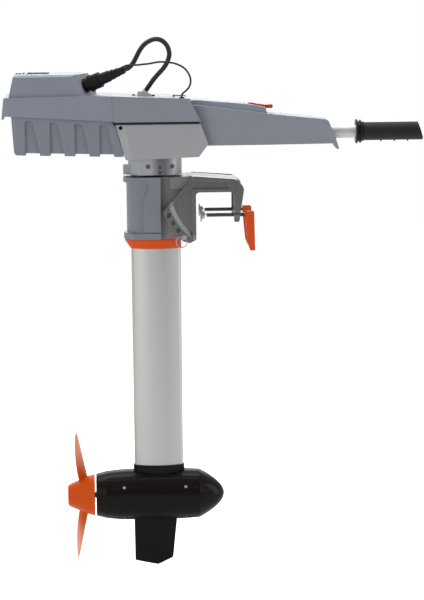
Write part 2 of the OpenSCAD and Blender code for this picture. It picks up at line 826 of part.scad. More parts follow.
module head_cover() {
    color("lightslategray") difference() {
        intersection() {
            across(-cover_half, cover_half) cover_side(0);
            along(cover_back - over, front_mid) cover_end(0);
        }
        intersection() {
            across(-cover_half, cover_half) cover_side(cover_wall);
            along(cover_back, front_mid) translate([0, -cover_wall]) cover_end(cover_wall);
        }
        translate([notch_back, -notch_half, cover_low - over])
            cube([front_mid - notch_back, 2 * notch_half, cover_h + 3]);
    }
}

module controller() {
    color("darkgreen") translate([axis_x - 50, -35, frame_floor]) cube([32, 70, 28]);
}

module fold_pin() {
    inner = frame_half - frame_wall;
    color("silver") translate([fold_px, 0, fold_z]) rod_y(fold_pin_d, -inner - 3, inner + 3);
}

// What lies below the cover's sloped top
module under_cover() {
    x0 = cover_back - 20;
    x1 = cover_front + 20;
    across(-cover_half, cover_half)
        polygon([[x0, cover_z(x0)], [x1, cover_z(x1)], [x1, cover_low], [x0, cover_low]]);
}

module cable_gland() {
    x0 = gland_end.x - 18;
    x1 = gland_end.x + 11;
    z0 = cover_z(x0);
    z1 = cover_z(x1);
    tilt = acos(gland_axis.z / norm(gland_axis));
    color("lightgray") difference() {
        union() {
            across(gland_end.y - 9, gland_end.y + 15)
                polygon([[x0, z0 - 3], [x1, z1 - 3], [x1, z1 + 3.5], [x0 + 17, z0 + 9.5], [x0 + 1.5, z0 + 9]]);
            translate(gland_end) rotate([0, tilt, atan2(gland_axis.y, gland_axis.x)])
                translate([0, 0, -11]) cylinder(d = power_cable_d + 3, h = 11);
        }
        under_cover();
    }
}

module data_grommet() {
    z0 = cover_z(grommet_end.x);
    color("black") difference() {
        translate([grommet_end.x, grommet_end.y, z0 - 3])
            cylinder(d = data_cable_d + 7, h = grommet_end.z - z0 + 3);
        under_cover();
    }
}

// Battery

module case_side() {
    step_z = frame_top - 1.5;
    polygon(rounded([
        [battery_x + 19, rim_low(battery_x + 19)], [battery_x + 24, case_low_back],
        [frame_back(case_low_front) - 0.5, case_low_front], [frame_back(step_z) - 0.5, step_z],
        [cover_back + 2.5, step_z], [cover_back + 2.5, rim_low(cover_back + 2.5)]
    ], [0, 8, 3, 0, 0, 0]));
}

module case_plan(inset) {
    x0 = battery_x + 18;
    polygon(rounded([
        [x0 + inset, -case_y(x0) + inset], [axis_x, -case_y(axis_x) + inset],
        [axis_x, case_y(axis_x) - inset], [x0 + inset, case_y(x0) - inset]
    ], [10, 0, 0, 10]));
}

// Room inside the tapered case between two stations and two heights
module case_room(inset, x0, x1, z0, z1) {
    intersection() {
        translate([x0, -case_half, z0]) cube([x1 - x0, 2 * case_half, z1 - z0]);
        translate([0, 0, z0 - over]) linear_extrude(z1 - z0 + 2 * over) case_plan(inset);
    }
}

module scallop(x) {
    top = rim_low(x + 10) - 7.5;
    low = case_low(x) - 10;
    polygon(rounded(
        [[x, low], [x, top], [x + scallop_w / 2 + 1, top], [x + scallop_w + 2, low]], [0, 4, 10, 0]
    ));
}

// Gap between two feet
module foot_gap(x) {
    x0 = x + 0.6;
    x1 = x + scallop_w - 0.6;
    low = case_low(x) - 10;
    polygon([[x0, low], [x0, case_low(x0) + foot_h], [x1, case_low(x1) + foot_h], [x1, low]]);
}

module battery_case() {
    first = battery_x + 46;
    lug_back = frame_back(lug_z) - 10;
    color("lightslategray") difference() {
        union() {
            intersection() {
                across(-case_half, case_half) case_side();
                translate([0, 0, case_low_front - over])
                    linear_extrude(rim_z - case_low_front + 2 * over) case_plan(0);
            }
            translate([lug_back, -lug_half, lug_z - 10]) cube([lug_x + 9 - lug_back, 2 * lug_half, 15.5]);
        }
        difference() {
            for (k = [0 : scallop_count - 1])
                across(-case_half - over, case_half + over) scallop(first + k * scallop_pitch);
            translate([0, 0, case_low_front - 20]) linear_extrude(rim_z) case_plan(scallop_depth);
        }
        for (k = [0 : scallop_count - 1])
            across(-case_half - over, case_half + over) foot_gap(first + k * scallop_pitch);
        case_room(case_wall + scallop_depth, cavity_back, cavity_front, case_floor, rim_z + over);
        translate([lug_x, 0, lug_z]) rod_y(lug_pin_d, -frame_half, frame_half);
    }
}

module rim_side() {
    xf = cover_edge(cover_low + 2) - seam_gap;
    polygon(rounded([
        [battery_x, rim_z - 7], [battery_x + 4.5, rim_z - 7], [battery_x + 6.5, rim_low(battery_x + 6.5)],
        [xf, rim_low(xf)], [cover_edge(cover_top) - seam_gap, cover_z(cover_back)],
        [battery_x + 174, rim_top + 2.2], [battery_x + 5, rim_top]
    ], [1, 1, 0, 0, 0.5, 0, 4]));
}

module rim_plan() {
    x1 = cover_back + 10;
    polygon(rounded([
        [battery_x, -rim_half], [x1, -rim_y(x1)], [x1, rim_y(x1)], [battery_x, rim_half]
    ], [14, 0, 0, 14]));
}

// Outward directions of the block's near side and of the face that carries the socket
block_draft = 5;
block_foot = [battery_x, -rim_half + 5, rim_top];
side_n = [
    sin(rim_taper) * cos(block_draft), -cos(rim_taper) * cos(block_draft), sin(block_draft)
];
plug_n = plug_axis / plug_len;

// What lies beyond a plane that faces along n at a point
module beyond(p, n) {
    translate(p) rotate([0, -asin(n.z), atan2(n.y, n.x)]) translate([0, -150, -150]) cube([200, 300, 300]);
}

module block_form() {
    nose = battery_x + 190;
    facets = 4;
    meet = side_n * plug_n;
    edge_n = unit(cross(side_n, plug_n));
    side_d = side_n * block_foot;
    plug_d = plug_n * plug_from;
    inset = block_round / (1 + meet);
    low_c = ((side_d - meet * plug_d) / (1 - meet * meet) - inset) * side_n
        + ((plug_d - meet * side_d) / (1 - meet * meet) - inset) * plug_n;
    centre = low_c + edge_n * (rim_top - low_c.z) / edge_n.z;
    bevel_n = [0, -cos(50), sin(50)];
    bevel_p = block_foot + [0, (block_h - 4) * tan(block_draft), block_h - 4];
    difference() {
        across(-rim_half, rim_half) polygon(rounded([
            [battery_x + 15, rim_top - over], [nose, rim_top - over],
            [nose - 15, block_top], [battery_x + 25, block_top]
        ], [0, 0, 3, 5]));
        both_sides() {
            beyond(block_foot, side_n);
            beyond(plug_from, plug_n);
            translate(bevel_p) rotate([0, 0, rim_taper]) beyond([0, 0, 0], bevel_n);
            for (k = [1 : facets]) {
                n = unit(side_n * (facets + 1 - k) + plug_n * k);
                beyond(centre + n * block_round, n);
            }
        }
    }
}

module battery_cover() {
    slot_pitch = 6.6;
    color("lightslategray") difference() {
        union() {
            intersection() {
                across(-rim_half - over, rim_half + over) rim_side();
                translate([0, 0, cover_low - over]) linear_extrude(rim_top - cover_low + 10) rim_plan();
            }
            block_form();
        }
        case_room(case_wall, cavity_back, cavity_front, cover_low - over, rim_top - 5);
        case_room(12, cavity_back + 3, plug_from.x - 24, cover_low - over, block_top - 6);
        for (k = [0 : 2])
            translate([battery_x + 28 + slot_pitch * k, -36, block_top - 2]) cube([4, 72, 2 + over]);
        translate([battery_x + 50, -45, block_top - 3]) cube([44, 90, 3 + over]);
    }
}

module battery_core() {
    color("steelblue")
        case_room(case_wall + scallop_depth + 2, cavity_back + 2, cavity_front - 2, case_floor, rim_top - 6);
}

module battery_pin() {
    half = frame_half - frame_bevel;
    color("black") translate([lug_x, 0, lug_z]) rod_y(lug_pin_d, -half, half);
}

module at_plug() {
    translate(plug_from) rotate([0, -plug_rise, plug_turn]) children();
}

socket_len = 9;
nut_len = 26;

module battery_socket() {
    color("black") at_plug() {
        rod_x(socket_d + 4, 0, 2);
        rod_x(socket_d, 2, socket_len);
    }
}

module power_plug() {
    tail_d = 15;
    nut_end = socket_len + nut_len;
    color("black") at_plug() {
        difference() {
            rod_x(plug_nut_d, socket_len + 6, nut_end);
            for (k = [0 : 11]) rotate([30 * k, 0, 0]) translate([0, plug_nut_d / 2 + 0.6, 0])
                rod_x(3.4, socket_len + 10, nut_end + over);
        }
        rod_x(plug_nut_d - 2, socket_len, socket_len + 6);
        rod_x(plug_nut_d + 4, socket_len + 3, socket_len + 6);
        turned_x([
            [nut_end, 0], [nut_end, plug_nut_d / 2 - 4], [nut_end + 12, plug_nut_d / 2 - 4],
            [plug_len - 14, tail_d / 2 + 0.5], [plug_len, tail_d / 2], [plug_len, 0]
        ]);
    }
}

module power_cable() {
    color("black") swept(power_route, power_cable_d, 10);
}

module data_cable() {
    color("black") swept(data_route, data_cable_d, 8);
}

// Tiller

module tiller_side() {
    root = arc([fold_px, fold_z], ridge_back - fold_z, 90, 125, 6);
    polygon(concat(
        rounded([
            root[0], [hump_x, ridge_mid], [tiller_end - 17, ridge_front], [tiller_end - 2.5, tiller_low + 14],
            [tiller_end + 5.5, tiller_low - 11], [tiller_end, tiller_low - 11], [tiller_end - 5, tiller_low],
            [fold_px - 8, tiller_low], [fold_px - 17, fold_z + 10]
        ], [0, 0, 10, 20, 1, 1, 0, 0, 6]),
        [for (k = [len(root) - 1 : -1 : 1]) root[k]]
    ));
}

module tiller_plan(inset) {
    x0 = fold_px - 100;
    root = tiller_half - inset;
    tip = tiller_tip_half - inset;
    polygon([
        [x0, -root], [hump_x, -root + 3], [tiller_end + 10, -tip],
        [tiller_end + 10, tip], [hump_x, root - 3], [x0, root]
    ]);
}

module hump_side() {
    root = arc([fold_px, fold_z], hump_back - fold_z, 93, 121, 5);
    polygon(concat(
        [root[0], [hump_x - 34, hump_front + 6.8], [hump_x, hump_front], [hump_x + 3, ridge_mid - over],
            [fold_px, ridge_back - 20]],
        [for (k = [len(root) - 1 : -1 : 1]) root[k]]
    ));
}

// Cap that fills the cover's notch and swings down inside the head
module root_cap() {
    a0 = 180 - asin((root_z - fold_z) / root_r);
    a1 = 180 - acos((fold_px - notch_back - 2 * pass_gap) / root_r);
    x1 = cover_front + 3;
    polygon(concat(
        [[x1, root_z]],
        arc([fold_px, fold_z], root_r, a0, a1, 3),
        [[notch_back + 6, root_z - 22], [x1, root_z - 22]]
    ));
}

kill_x = hump_x - 17;
kill_d = 13;

module tiller_shell() {
    hump_half = tiller_half - 11;
    cavity_x = fold_px + 52;
    color("lightslategray") difference() {
        union() {
            intersection() {
                across(-tiller_half, tiller_half) tiller_side();
                translate([0, 0, tiller_low - 20]) linear_extrude(120) tiller_plan(0);
            }
            intersection() {
                across(-hump_half, hump_half) hump_side();
                along(fold_px - 100, hump_x + 10) polygon(rounded([
                    [-hump_half, fold_z], [hump_half, fold_z], [hump_half, ridge_mid],
                    [hump_half - 7, hump_back], [-hump_half + 7, hump_back], [-hump_half, ridge_mid]
                ], [0, 0, 0, 3, 3, 0]));
            }
            across(-notch_half + 2 * pass_gap, notch_half - 2 * pass_gap) root_cap();
        }
        translate([kill_x, 0, hump_front - 3]) cylinder(d = kill_d, h = 20);
        intersection() {
            across(-tiller_half, tiller_half) polygon([
                [cavity_x, tiller_low - over], [cavity_x, ridge_mid - tiller_wall - 4],
                [hump_x, ridge_mid - tiller_wall], [tiller_end - 28, ridge_front - tiller_wall],
                [tiller_end - 14, tiller_low + 12], [tiller_end - 14, tiller_low - over]
            ]);
            translate([0, 0, tiller_low - 20]) linear_extrude(120) tiller_plan(tiller_wall);
        }
        translate([0, 0, tiller_tube_z]) rod_x(tiller_tube_d, tiller_end - 20, tiller_end + 20);
        translate([fold_px, 0, fold_z])
            rod_y(fold_pin_d + 2 * run_clear, -tiller_half - over, tiller_half + over);
    }
}

module tiller_floor() {
    cavity_x = fold_px + 52;
    color("dimgray") intersection() {
        translate([cavity_x, -tiller_half, tiller_low])
            cube([tiller_end - 14 - cavity_x, 2 * tiller_half, tiller_wall]);
        translate([0, 0, tiller_low - 20]) linear_extrude(120) tiller_plan(tiller_wall);
    }
}

grip_bore_end = grip_x + grip_length - 14;

module tiller_tube() {
    color("gainsboro") translate([0, 0, tiller_tube_z]) difference() {
        rod_x(tiller_tube_d, tiller_end - 14, grip_bore_end - 2);
        rod_x(tiller_tube_d - 5, tiller_end - 14 - over, grip_bore_end - 2 + over);
    }
}

module kill_seat() {
    color("black") intersection() {
        translate([kill_x, 0, hump_front - 3]) cylinder(d = kill_d, h = 20);
        across(-kill_d, kill_d) hump_side();
    }
}

module kill_key() {
    half = 9;
    color("orangered") across(-half, half) polygon(rounded([
        [hump_x - 33, hump_front + 6.6 + pass_gap], [hump_x - 0.1, hump_front + pass_gap],
        [hump_x + 1.6, hump_front - 3], [hump_x + 15.5, hump_front - 3], [hump_x + 16, hump_front + 4.4],
        [hump_x, hump_front + 3.9], [hump_x - 32, hump_front + 9.2]
    ], [0, 0, 0, 2, 2, 0, 0.5]));
}

// Throttle grip

module throttle_grip() {
    cut = 17;
    color("black") translate([0, 0, tiller_tube_z]) difference() {
        union() {
            rod_x(grip_d, grip_x + grip_collar_w, grip_x + grip_length);
            for (k = [0 : 2]) translate([grip_x + 50 + 27 * k, -3, -grip_d / 2 - 2]) cube([2.5, 6, 6]);
        }
        rod_x(tiller_tube_d + 0.16, grip_x, grip_bore_end);
        translate([grip_x + grip_length - 4, 0, 0]) rotate([0, -cut, 0])
            translate([0, -grip_d, -2 * grip_d]) cube([grip_d, 2 * grip_d, 4 * grip_d]);
    }
}

module grip_collar() {
    r = grip_collar_d / 2;
    color("black") translate([0, 0, tiller_tube_z]) difference() {
        turned_x([
            [grip_x, 0], [grip_x, r], [grip_x + 3, r], [grip_x + 4, r - 3.5], [grip_x + 7, r - 3.5],
            [grip_x + 8, r - 1], [grip_x + 10, r - 1], [grip_x + 11, r - 4],
            [grip_x + grip_collar_w, r - 5], [grip_x + grip_collar_w, 0]
        ]);
        rod_x(tiller_tube_d + 0.16, grip_x - over, grip_x + grip_collar_w + over);
    }
}

module grip_cap() {
    color("black") translate([0, 0, tiller_tube_z])
        rod_x(tiller_tube_d + 0.16, grip_bore_end - 2 + pass_gap, grip_bore_end);
}

// Motor pod

nose_len = pod_x2 - pod_x1;
nose_start = 36;
nose_drop = 2;
function nose_r(x) =
    let (t = (x - pod_x1 - nose_start) / (nose_len - nose_start))
    t <= 0 ? pod_r - nose_drop * pow((x - pod_x1) / nose_start, 2)
    : (pod_r - nose_drop) * pow(max(0, 1 - t), 0.53);

module pod_screw_set(x, grow, deep) {
    for (a = screw_angles) rotate([a, 0, 0]) translate([x, 0, 0]) {
        translate([0, 0, pod_r - 4]) cylinder(d = 6 + grow, h = 2 + deep);
        translate([0, 0, pod_r - 7.5]) cylinder(d = 3, h = 4);
    }
}

module flutes() {
    for (a = screw_angles) rotate([a, 0, 0]) translate([0, 0, pod_r + 1.5]) rod_x(9, pod_x0 + 10, pod_x1 + 30);
}

module pod_body() {
    color("black") difference() {
        translate([0, 0, prop_z]) difference() {
            union() {
                turned_x([
                    [pod_x0, 0], [pod_x0, pod_r - 9.5], [pod_x0 + 3, pod_r - 8], [pod_x0 + 21, pod_r - 3.5],
                    [pod_x0 + 45, pod_r - 1], [pod_x0 + 62, pod_r], [pod_x1, pod_r], [pod_x1, 0]
                ]);
                translate([axis_x, 0, cavity_r - 10]) linear_extrude(neck_top - prop_z - cavity_r + 10)
                    polygon(oval_points(pylon_chord + 4, pylon_thickness + 5, pylon_edge_r + 2, 9));
            }
            rod_x(2 * cavity_r, pod_x0 + 32, pod_x1 + over);
            rod_x(bearing_d, pod_x0 + 20, pod_x0 + 33);
            rod_x(shaft_d + 10, pod_x0 - over, pod_x0 + 9);
            rod_x(shaft_d + 2, pod_x0, pod_x0 + 40);
            flutes();
            pod_screw_set(pod_x0 + 57, 0.4, 8);
            rod_x(pod_d, pod_x1, pod_x1 + 30);
        }
        translate([axis_x, 0, pylon_low]) linear_extrude(neck_top - pylon_low + over)
            oval(pylon_chord, pylon_thickness, pylon_edge_r);
    }
}

module nose_cap() {
    steps = 14;
    seat_x = pod_x1 - 18;
    break_x = pod_x1 + nose_start;
    seat_r = bearing_d / 2 + 6;
    color("black") translate([0, 0, prop_z]) difference() {
        union() {
            turned_x(concat(
                [[pod_x1, 0]],
                [[pod_x1, pod_r]],
                [for (k = [0 : steps])
                    let (x = break_x + (pod_x2 - break_x) * sin(90 * k / steps))
                    [x, nose_r(x)]]
            ));
            rod_x(2 * cavity_r, pod_x1 - 8, pod_x1 + over);
            rod_x(2 * seat_r, seat_x, pod_x1);
        }
        turned_x([
            [pod_x1 - 9, seat_r], [pod_x1 - 9, cavity_r - 6], [pod_x1 + 26, cavity_r - 12], [pod_x1 + 26, seat_r]
        ]);
        rod_x(bearing_d, seat_x - over, seat_x + 9);
        rod_x(shaft_d + 2, seat_x, seat_x + 16);
        flutes();
        pod_screw_set(pod_x1 + 7, 0.4, 8);
    }
}

module pod_screws() {
    color("silver") translate([0, 0, prop_z]) {
        pod_screw_set(pod_x0 + 57, 0, 0);
        pod_screw_set(pod_x1 + 7, 0, 0);
    }
}

module fin() {
    root = prop_z - pod_r;
    tip = root - fin_depth;
    color("black") difference() {
        intersection() {
            across(-fin_t, fin_t) polygon(rounded([
                [axis_x - 52, root + 12], [axis_x - 51, tip + 9], [axis_x - 4, tip], [axis_x + 27, tip + 14],
                [axis_x + 37, root + 12]
            ], [0, 3, 4, 8, 0]));
            translate([axis_x - 8, 0, tip - over]) linear_extrude(fin_depth + 20) oval(96, fin_t, 3.5);
        }
        translate([0, 0, prop_z]) rod_x(pod_d, pod_x0, pod_x1 + over);
    }
}

module ring_x(d_out, d_in, x0, x1) {
    translate([0, 0, prop_z]) difference() {
        rod_x(d_out, x0, x1);
        rod_x(d_in, x0 - over, x1 + over);
    }
}

core_d = 2 * cavity_r - 36;

module stator() {
    color("peru") ring_x(2 * cavity_r, core_d + 1, pod_x0 + 46, pod_x1 - 28);
}

module bearing_rear() {
    color("silver") ring_x(bearing_d, shaft_d + 2 * run_clear, pod_x0 + 20, pod_x0 + 29);
}

module bearing_front() {
    color("silver") ring_x(bearing_d, shaft_d + 2 * run_clear, pod_x1 - 18, pod_x1 - 9);
}

module shaft_seal() {
    color("black") ring_x(shaft_d + 10, shaft_d + 2 * run_clear, pod_x0 + 1, pod_x0 + 9);
}

// Propeller and rotor

pin_x = hub_x1 - 14;

module rotor() {
    color("gray") translate([0, 0, prop_z]) difference() {
        union() {
            rod_x(shaft_d, hub_x0 + 8, pod_x1 - 5);
            rod_x(core_d, pod_x0 + 50, pod_x1 - 32);
        }
        translate([pin_x, 0, 0]) cylinder(d = 5, h = 2 * shaft_d, center = true);
    }
}

module drive_pin() {
    color("silver") translate([pin_x, 0, prop_z]) cylinder(d = 5, h = hub_tip_d - 12, center = true);
}

module prop_nut() {
    color("silver") translate([0, 0, prop_z]) difference() {
        rotate([30, 0, 0]) rod_x(20, hub_x0 + 6, hub_x0 + 15, $fn = 6);
        rod_x(shaft_d, hub_x0 + 5, hub_x0 + 16);
    }
}

// One blade: lens sections of a helical surface, root inside the hub and tip drawn in
blade_rows = 12;
blade_side = 8;

function blade_r(k) = hub_tip_d / 2 - 4 + (prop_d / 2 - hub_tip_d / 2 + 4) * sin(90 * k / blade_rows);
function blade_s(r) = (r - hub_tip_d / 2) / (prop_d / 2 - hub_tip_d / 2);
function blade_c(r) =
    let (s = blade_s(r))
    max(1.2, blade_chord * (0.5 + 1.6 * s - 1.3 * s * s) * sqrt(max(0, 1 - pow(max(0, s), 6))));
function blade_t(r) = max(0.9, blade_root_t * (1 - 0.8 * blade_s(r)));
function blade_point(r, u, side) =
    let (
        turn = atan(blade_pitch / (2 * PI * r)),
        a = u * blade_c(r) / 2,
        v = side * blade_t(r) / 2 * (1 - u * u),
        s = max(0, blade_s(r)),
        mid = hub_x0 + 34 - 25 * s + 9.4 * s * s
    )
    [mid + a * sin(turn) + v * cos(turn), a * cos(turn) - v * sin(turn), r];

module blade() {
    m = 2 * blade_side;
    rows = [for (k = [0 : blade_rows]) let (r = blade_r(k)) concat(
        [for (i = [0 : blade_side - 1]) blade_point(r, -1 + 2 * i / blade_side, 1)],
        [for (i = [0 : blade_side - 1]) blade_point(r, 1 - 2 * i / blade_side, -1)]
    )];
    pts = [for (row = rows) each row];
    sides = [for (k = [0 : blade_rows - 1], i = [0 : m - 1])
        let (a = k * m + i, b = k * m + (i + 1) % m)
        each [[a, b, a + m], [b, b + m, a + m]]];
    low = [for (i = [0 : blade_side - 1]) each [[i, (m - i) % m, i + 1], [i + 1, (m - i) % m, m - i - 1]]];
    top = blade_rows * m;
    caps = [for (f = low) if (f[0] != f[1] && f[1] != f[2] && f[0] != f[2]) f];
    root_cap = [for (f = caps) [f[2], f[1], f[0]]];
    tip_cap = [for (f = caps) [top + f[0], top + f[1], top + f[2]]];
    polyhedron(pts, concat(sides, root_cap, tip_cap));
}

module propeller() {
    color("orangered") translate([0, 0, prop_z]) difference() {
        union() {
            turned_x([
                [hub_x0, 0], [hub_x0, hub_tip_d / 2 - 3], [hub_x0 + 3, hub_tip_d / 2],
                [hub_x0 + hub_length * 0.39, hub_tip_d / 2 + 8.5],
                [hub_x0 + hub_length * 0.8, hub_d / 2 - 3], [hub_x1, hub_d / 2], [hub_x1, 0]
            ]);
            for (a = [0, 180]) rotate([a, 0, 0]) blade();
        }
        rod_x(shaft_d, hub_x0 + 10, hub_x1 + over);
        rod_x(26, hub_x0 - over, hub_x0 + 15);
        translate([pin_x, 0, 0]) cylinder(d = 5, h = hub_tip_d - 12, center = true);
    }
}

clamp_bracket();
tilt_pin();
trim_pin();
trim_ring();
pad_ball(false);  // pad_ball_near
pad_ball(true);  // pad_ball_far
clamp_pad(false);  // clamp_pad_near
clamp_pad(true);  // clamp_pad_far
clamp_screw(false);  // clamp_screw_near
clamp_screw(true);  // clamp_screw_far
lever(false);  // lever_near
lever(true);  // lever_far
lever_pin(false);  // lever_pin_near
lever_pin(true);  // lever_pin_far
swivel_housing();
bush_upper();
bush_lower();
steering_tube();
thrust_collar();
pylon();
head_collar();
collar_screws();
head_frame();
head_seal();
head_cover();
controller();
fold_pin();
cable_gland();
data_grommet();
battery_case();
battery_cover();
battery_core();
battery_pin();
battery_socket();
power_plug();
power_cable();
data_cable();
tiller_shell();
tiller_floor();
tiller_tube();
kill_seat();
kill_key();
throttle_grip();
grip_collar();
grip_cap();
pod_body();
nose_cap();
pod_screws();
fin();
stator();
bearing_rear();
bearing_front();
shaft_seal();
rotor();
propeller();
drive_pin();
prop_nut();
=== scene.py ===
"""Studio scene of a small electric outboard with tiller, battery and transom clamp.

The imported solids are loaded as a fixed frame. This script adds the two cables, the threads of
the clamp screws and the fine moulded detail, gives every surface a procedural finish, and sets
the studio. Lengths are in metres and angles in degrees, unless a comment says otherwise.
"""

from __future__ import annotations

import json
import logging
import math
from dataclasses import dataclass
from enum import Enum

import bpy
import numpy as np
from mathutils import Matrix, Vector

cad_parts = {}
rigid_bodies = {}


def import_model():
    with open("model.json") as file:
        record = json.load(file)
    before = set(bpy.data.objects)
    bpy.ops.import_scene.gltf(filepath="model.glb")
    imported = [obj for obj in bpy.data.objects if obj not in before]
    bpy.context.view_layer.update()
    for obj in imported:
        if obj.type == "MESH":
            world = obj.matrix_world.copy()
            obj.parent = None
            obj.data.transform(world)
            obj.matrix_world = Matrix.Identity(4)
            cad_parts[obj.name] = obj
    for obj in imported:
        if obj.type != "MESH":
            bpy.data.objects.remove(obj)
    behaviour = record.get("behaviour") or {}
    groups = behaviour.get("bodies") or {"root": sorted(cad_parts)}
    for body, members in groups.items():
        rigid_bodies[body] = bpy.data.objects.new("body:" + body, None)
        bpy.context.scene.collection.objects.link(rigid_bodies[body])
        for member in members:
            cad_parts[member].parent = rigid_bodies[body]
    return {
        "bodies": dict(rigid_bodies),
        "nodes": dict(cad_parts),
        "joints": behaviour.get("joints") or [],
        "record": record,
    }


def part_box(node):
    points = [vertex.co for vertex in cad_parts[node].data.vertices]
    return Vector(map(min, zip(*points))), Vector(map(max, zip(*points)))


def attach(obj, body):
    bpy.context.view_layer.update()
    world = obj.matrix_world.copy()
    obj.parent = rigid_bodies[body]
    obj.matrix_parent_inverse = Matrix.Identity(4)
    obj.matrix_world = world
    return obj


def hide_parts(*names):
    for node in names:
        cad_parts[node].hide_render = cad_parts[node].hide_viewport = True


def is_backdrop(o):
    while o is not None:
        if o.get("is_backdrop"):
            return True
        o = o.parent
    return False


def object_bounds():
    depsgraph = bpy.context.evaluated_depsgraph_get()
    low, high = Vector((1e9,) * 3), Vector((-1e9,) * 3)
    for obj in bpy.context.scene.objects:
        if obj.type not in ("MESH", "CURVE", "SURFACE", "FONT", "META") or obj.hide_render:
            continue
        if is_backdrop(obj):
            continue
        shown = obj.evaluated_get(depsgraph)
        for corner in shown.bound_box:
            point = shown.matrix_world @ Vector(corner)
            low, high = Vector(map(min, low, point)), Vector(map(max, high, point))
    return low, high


LOG = logging.getLogger("outboard")
Array = np.ndarray
Colour = tuple[float, float, float]
Point = tuple[float, float, float]
Profile = tuple[tuple[float, float], ...]
Socket = bpy.types.NodeSocket

WHITE: Colour = (1.0, 1.0, 1.0)
ACROSS = np.array([0.0, 1.0, 0.0])
UPWARDS = np.array([0.0, 0.0, 1.0])
FULL_TURN = 2 * math.pi


def srgb(red: int, green: int, blue: int) -> Colour:
    """Linear colour of an 8-bit sRGB triple, by the standard two-part curve.

    Args:
        red: Red from 0 to 255.
        green: Green from 0 to 255.
        blue: Blue from 0 to 255.

    Returns:
        The linear colour.
    """
    share = np.array([red, green, blue], float) / 255.0
    linear = np.where(share <= 0.04045, share / 12.92, ((share + 0.055) / 1.055) ** 2.4)
    return tuple(float(v) for v in linear)


def shaded(colour: Colour, factor: float, lift: float = 0.0) -> Colour:
    """Linear colour times a factor of lightness, plus a lift, up to white."""
    return tuple(float(v) for v in np.minimum(np.array(colour) * factor + lift, 1.0))


def unit(vectors: Array) -> Array:
    """One vector, or rows of vectors, brought to length 1."""
    return vectors / np.linalg.norm(vectors, axis=-1, keepdims=True)


def rings(centres: Array, heading: Array, radii: Array, sides: int) -> Array:
    """Circles of points square to their headings, none of which runs along Y.

    Args:
        centres: One centre per ring.
        heading: Direction of the axis, for each ring or for all.
        radii: Radius of each ring, or of all.
        sides: Points round a ring.

    Returns:
        Grid of rows of points.
    """
    ahead = unit(np.broadcast_to(heading, centres.shape))
    side = unit(np.cross(ahead, ACROSS))
    other = np.cross(ahead, side)
    angle = np.linspace(0.0, FULL_TURN, sides, endpoint=False)[:, None]
    circle = np.cos(angle) * side[:, None] + np.sin(angle) * other[:, None]
    return centres[:, None] + np.reshape(radii, (-1, 1, 1)) * circle


def placed(right: Array, up: Array, back: Array, place: Point) -> Matrix:
    """Matrix of a camera or a light.

    Args:
        right: Direction of its right side.
        up: Direction of its upper side.
        back: Direction away from what it faces.
        place: Where it stands.

    Returns:
        The matrix with these as its columns.
    """
    matrix = np.eye(4)
    matrix[:3] = np.stack([right, up, back, place], axis=1)
    return Matrix(matrix.tolist())


class Streaks(Enum):
    """Scale of the noise on each axis for streaks along one of them."""

    ALONG_X = (0.012, 1.0, 1.0)
    ALONG_Z = (1.0, 1.0, 0.012)


class Nodes:
    """Helper that places and links the nodes of one tree."""

    def __init__(self, tree: bpy.types.NodeTree) -> None:
        """Empties the node tree of a material or of the world."""
        self.tree = tree
        self.tree.nodes.clear()

    def node(self, kind: str, **values: object) -> bpy.types.Node:
        """Adds a node and sets its properties or unlinked input sockets.

        Args:
            kind: Type name of the node.
            values: Property or socket values, with underscores for spaces in a socket's name.

        Returns:
            The new node.
        """
        made = self.tree.nodes.new(kind)
        for key, value in values.items():
            socket = made.inputs.get(key.replace("_", " "))
            if socket is not None and not hasattr(type(made), key):
                socket.default_value = value
            else:
                setattr(made, key, value)
        return made

    def feed(self, end: Socket, value: object) -> None:
        """Links an output to an input socket, or sets the input to a constant.

        Args:
            end: Input socket.
            value: Output socket or constant.
        """
        if isinstance(value, Socket):
            self.tree.links.new(value, end)
        else:
            end.default_value = value

    def calc(self, operation: str, first: object, second: object) -> Socket:
        """Result of a sum on two numbers.

        Args:
            operation: Name of the operation.
            first: Socket or constant.
            second: Socket or constant.

        Returns:
            The value socket.
        """
        made = self.node("ShaderNodeMath", operation=operation)
        self.feed(made.inputs[0], first)
        self.feed(made.inputs[1], second)
        return made.outputs["Value"]

    def vector(self, operation: str, *values: object) -> bpy.types.Node:
        """Node of a sum on vectors.

        Args:
            operation: Name of the operation.
            values: Sockets or constants, in the order of the inputs.

        Returns:
            The new node, whose result is its Vector or its Value.
        """
        made = self.node("ShaderNodeVectorMath", operation=operation)
        for end, value in zip(made.inputs, values):
            self.feed(end, value)
        return made

    def ramp(
        self, value: Socket, start: float, end: float, low: float, high: float, smooth: bool = False
    ) -> Socket:
        """Maps a value from one range to another and holds it at the ends.

        Args:
            value: Value socket.
            start: Value that gives low.
            end: Value that gives high.
            low: Result at the start.
            high: Result at the end.
            smooth: Whether the change eases in and out.

        Returns:
            The mapped value socket.
        """
        made = self.node("ShaderNodeMapRange", From_Min=start, From_Max=end, To_Min=low, To_Max=high)
        made.interpolation_type = "SMOOTHSTEP" if smooth else "LINEAR"
        self.feed(made.inputs["Value"], value)
        return made.outputs["Result"]

    def seen_directly(self) -> Socket:
        """Mask that is 1 for what the camera, a reflection or a see-through piece shows.

        Returns:
            The greatest of the camera, glossy and transmission ray sockets.
        """
        rays = self.node("ShaderNodeLightPath").outputs
        mask = rays["Is Camera Ray"]
        for other in ("Is Glossy Ray", "Is Transmission Ray"):
            mask = self.calc("MAXIMUM", mask, rays[other])
        return mask


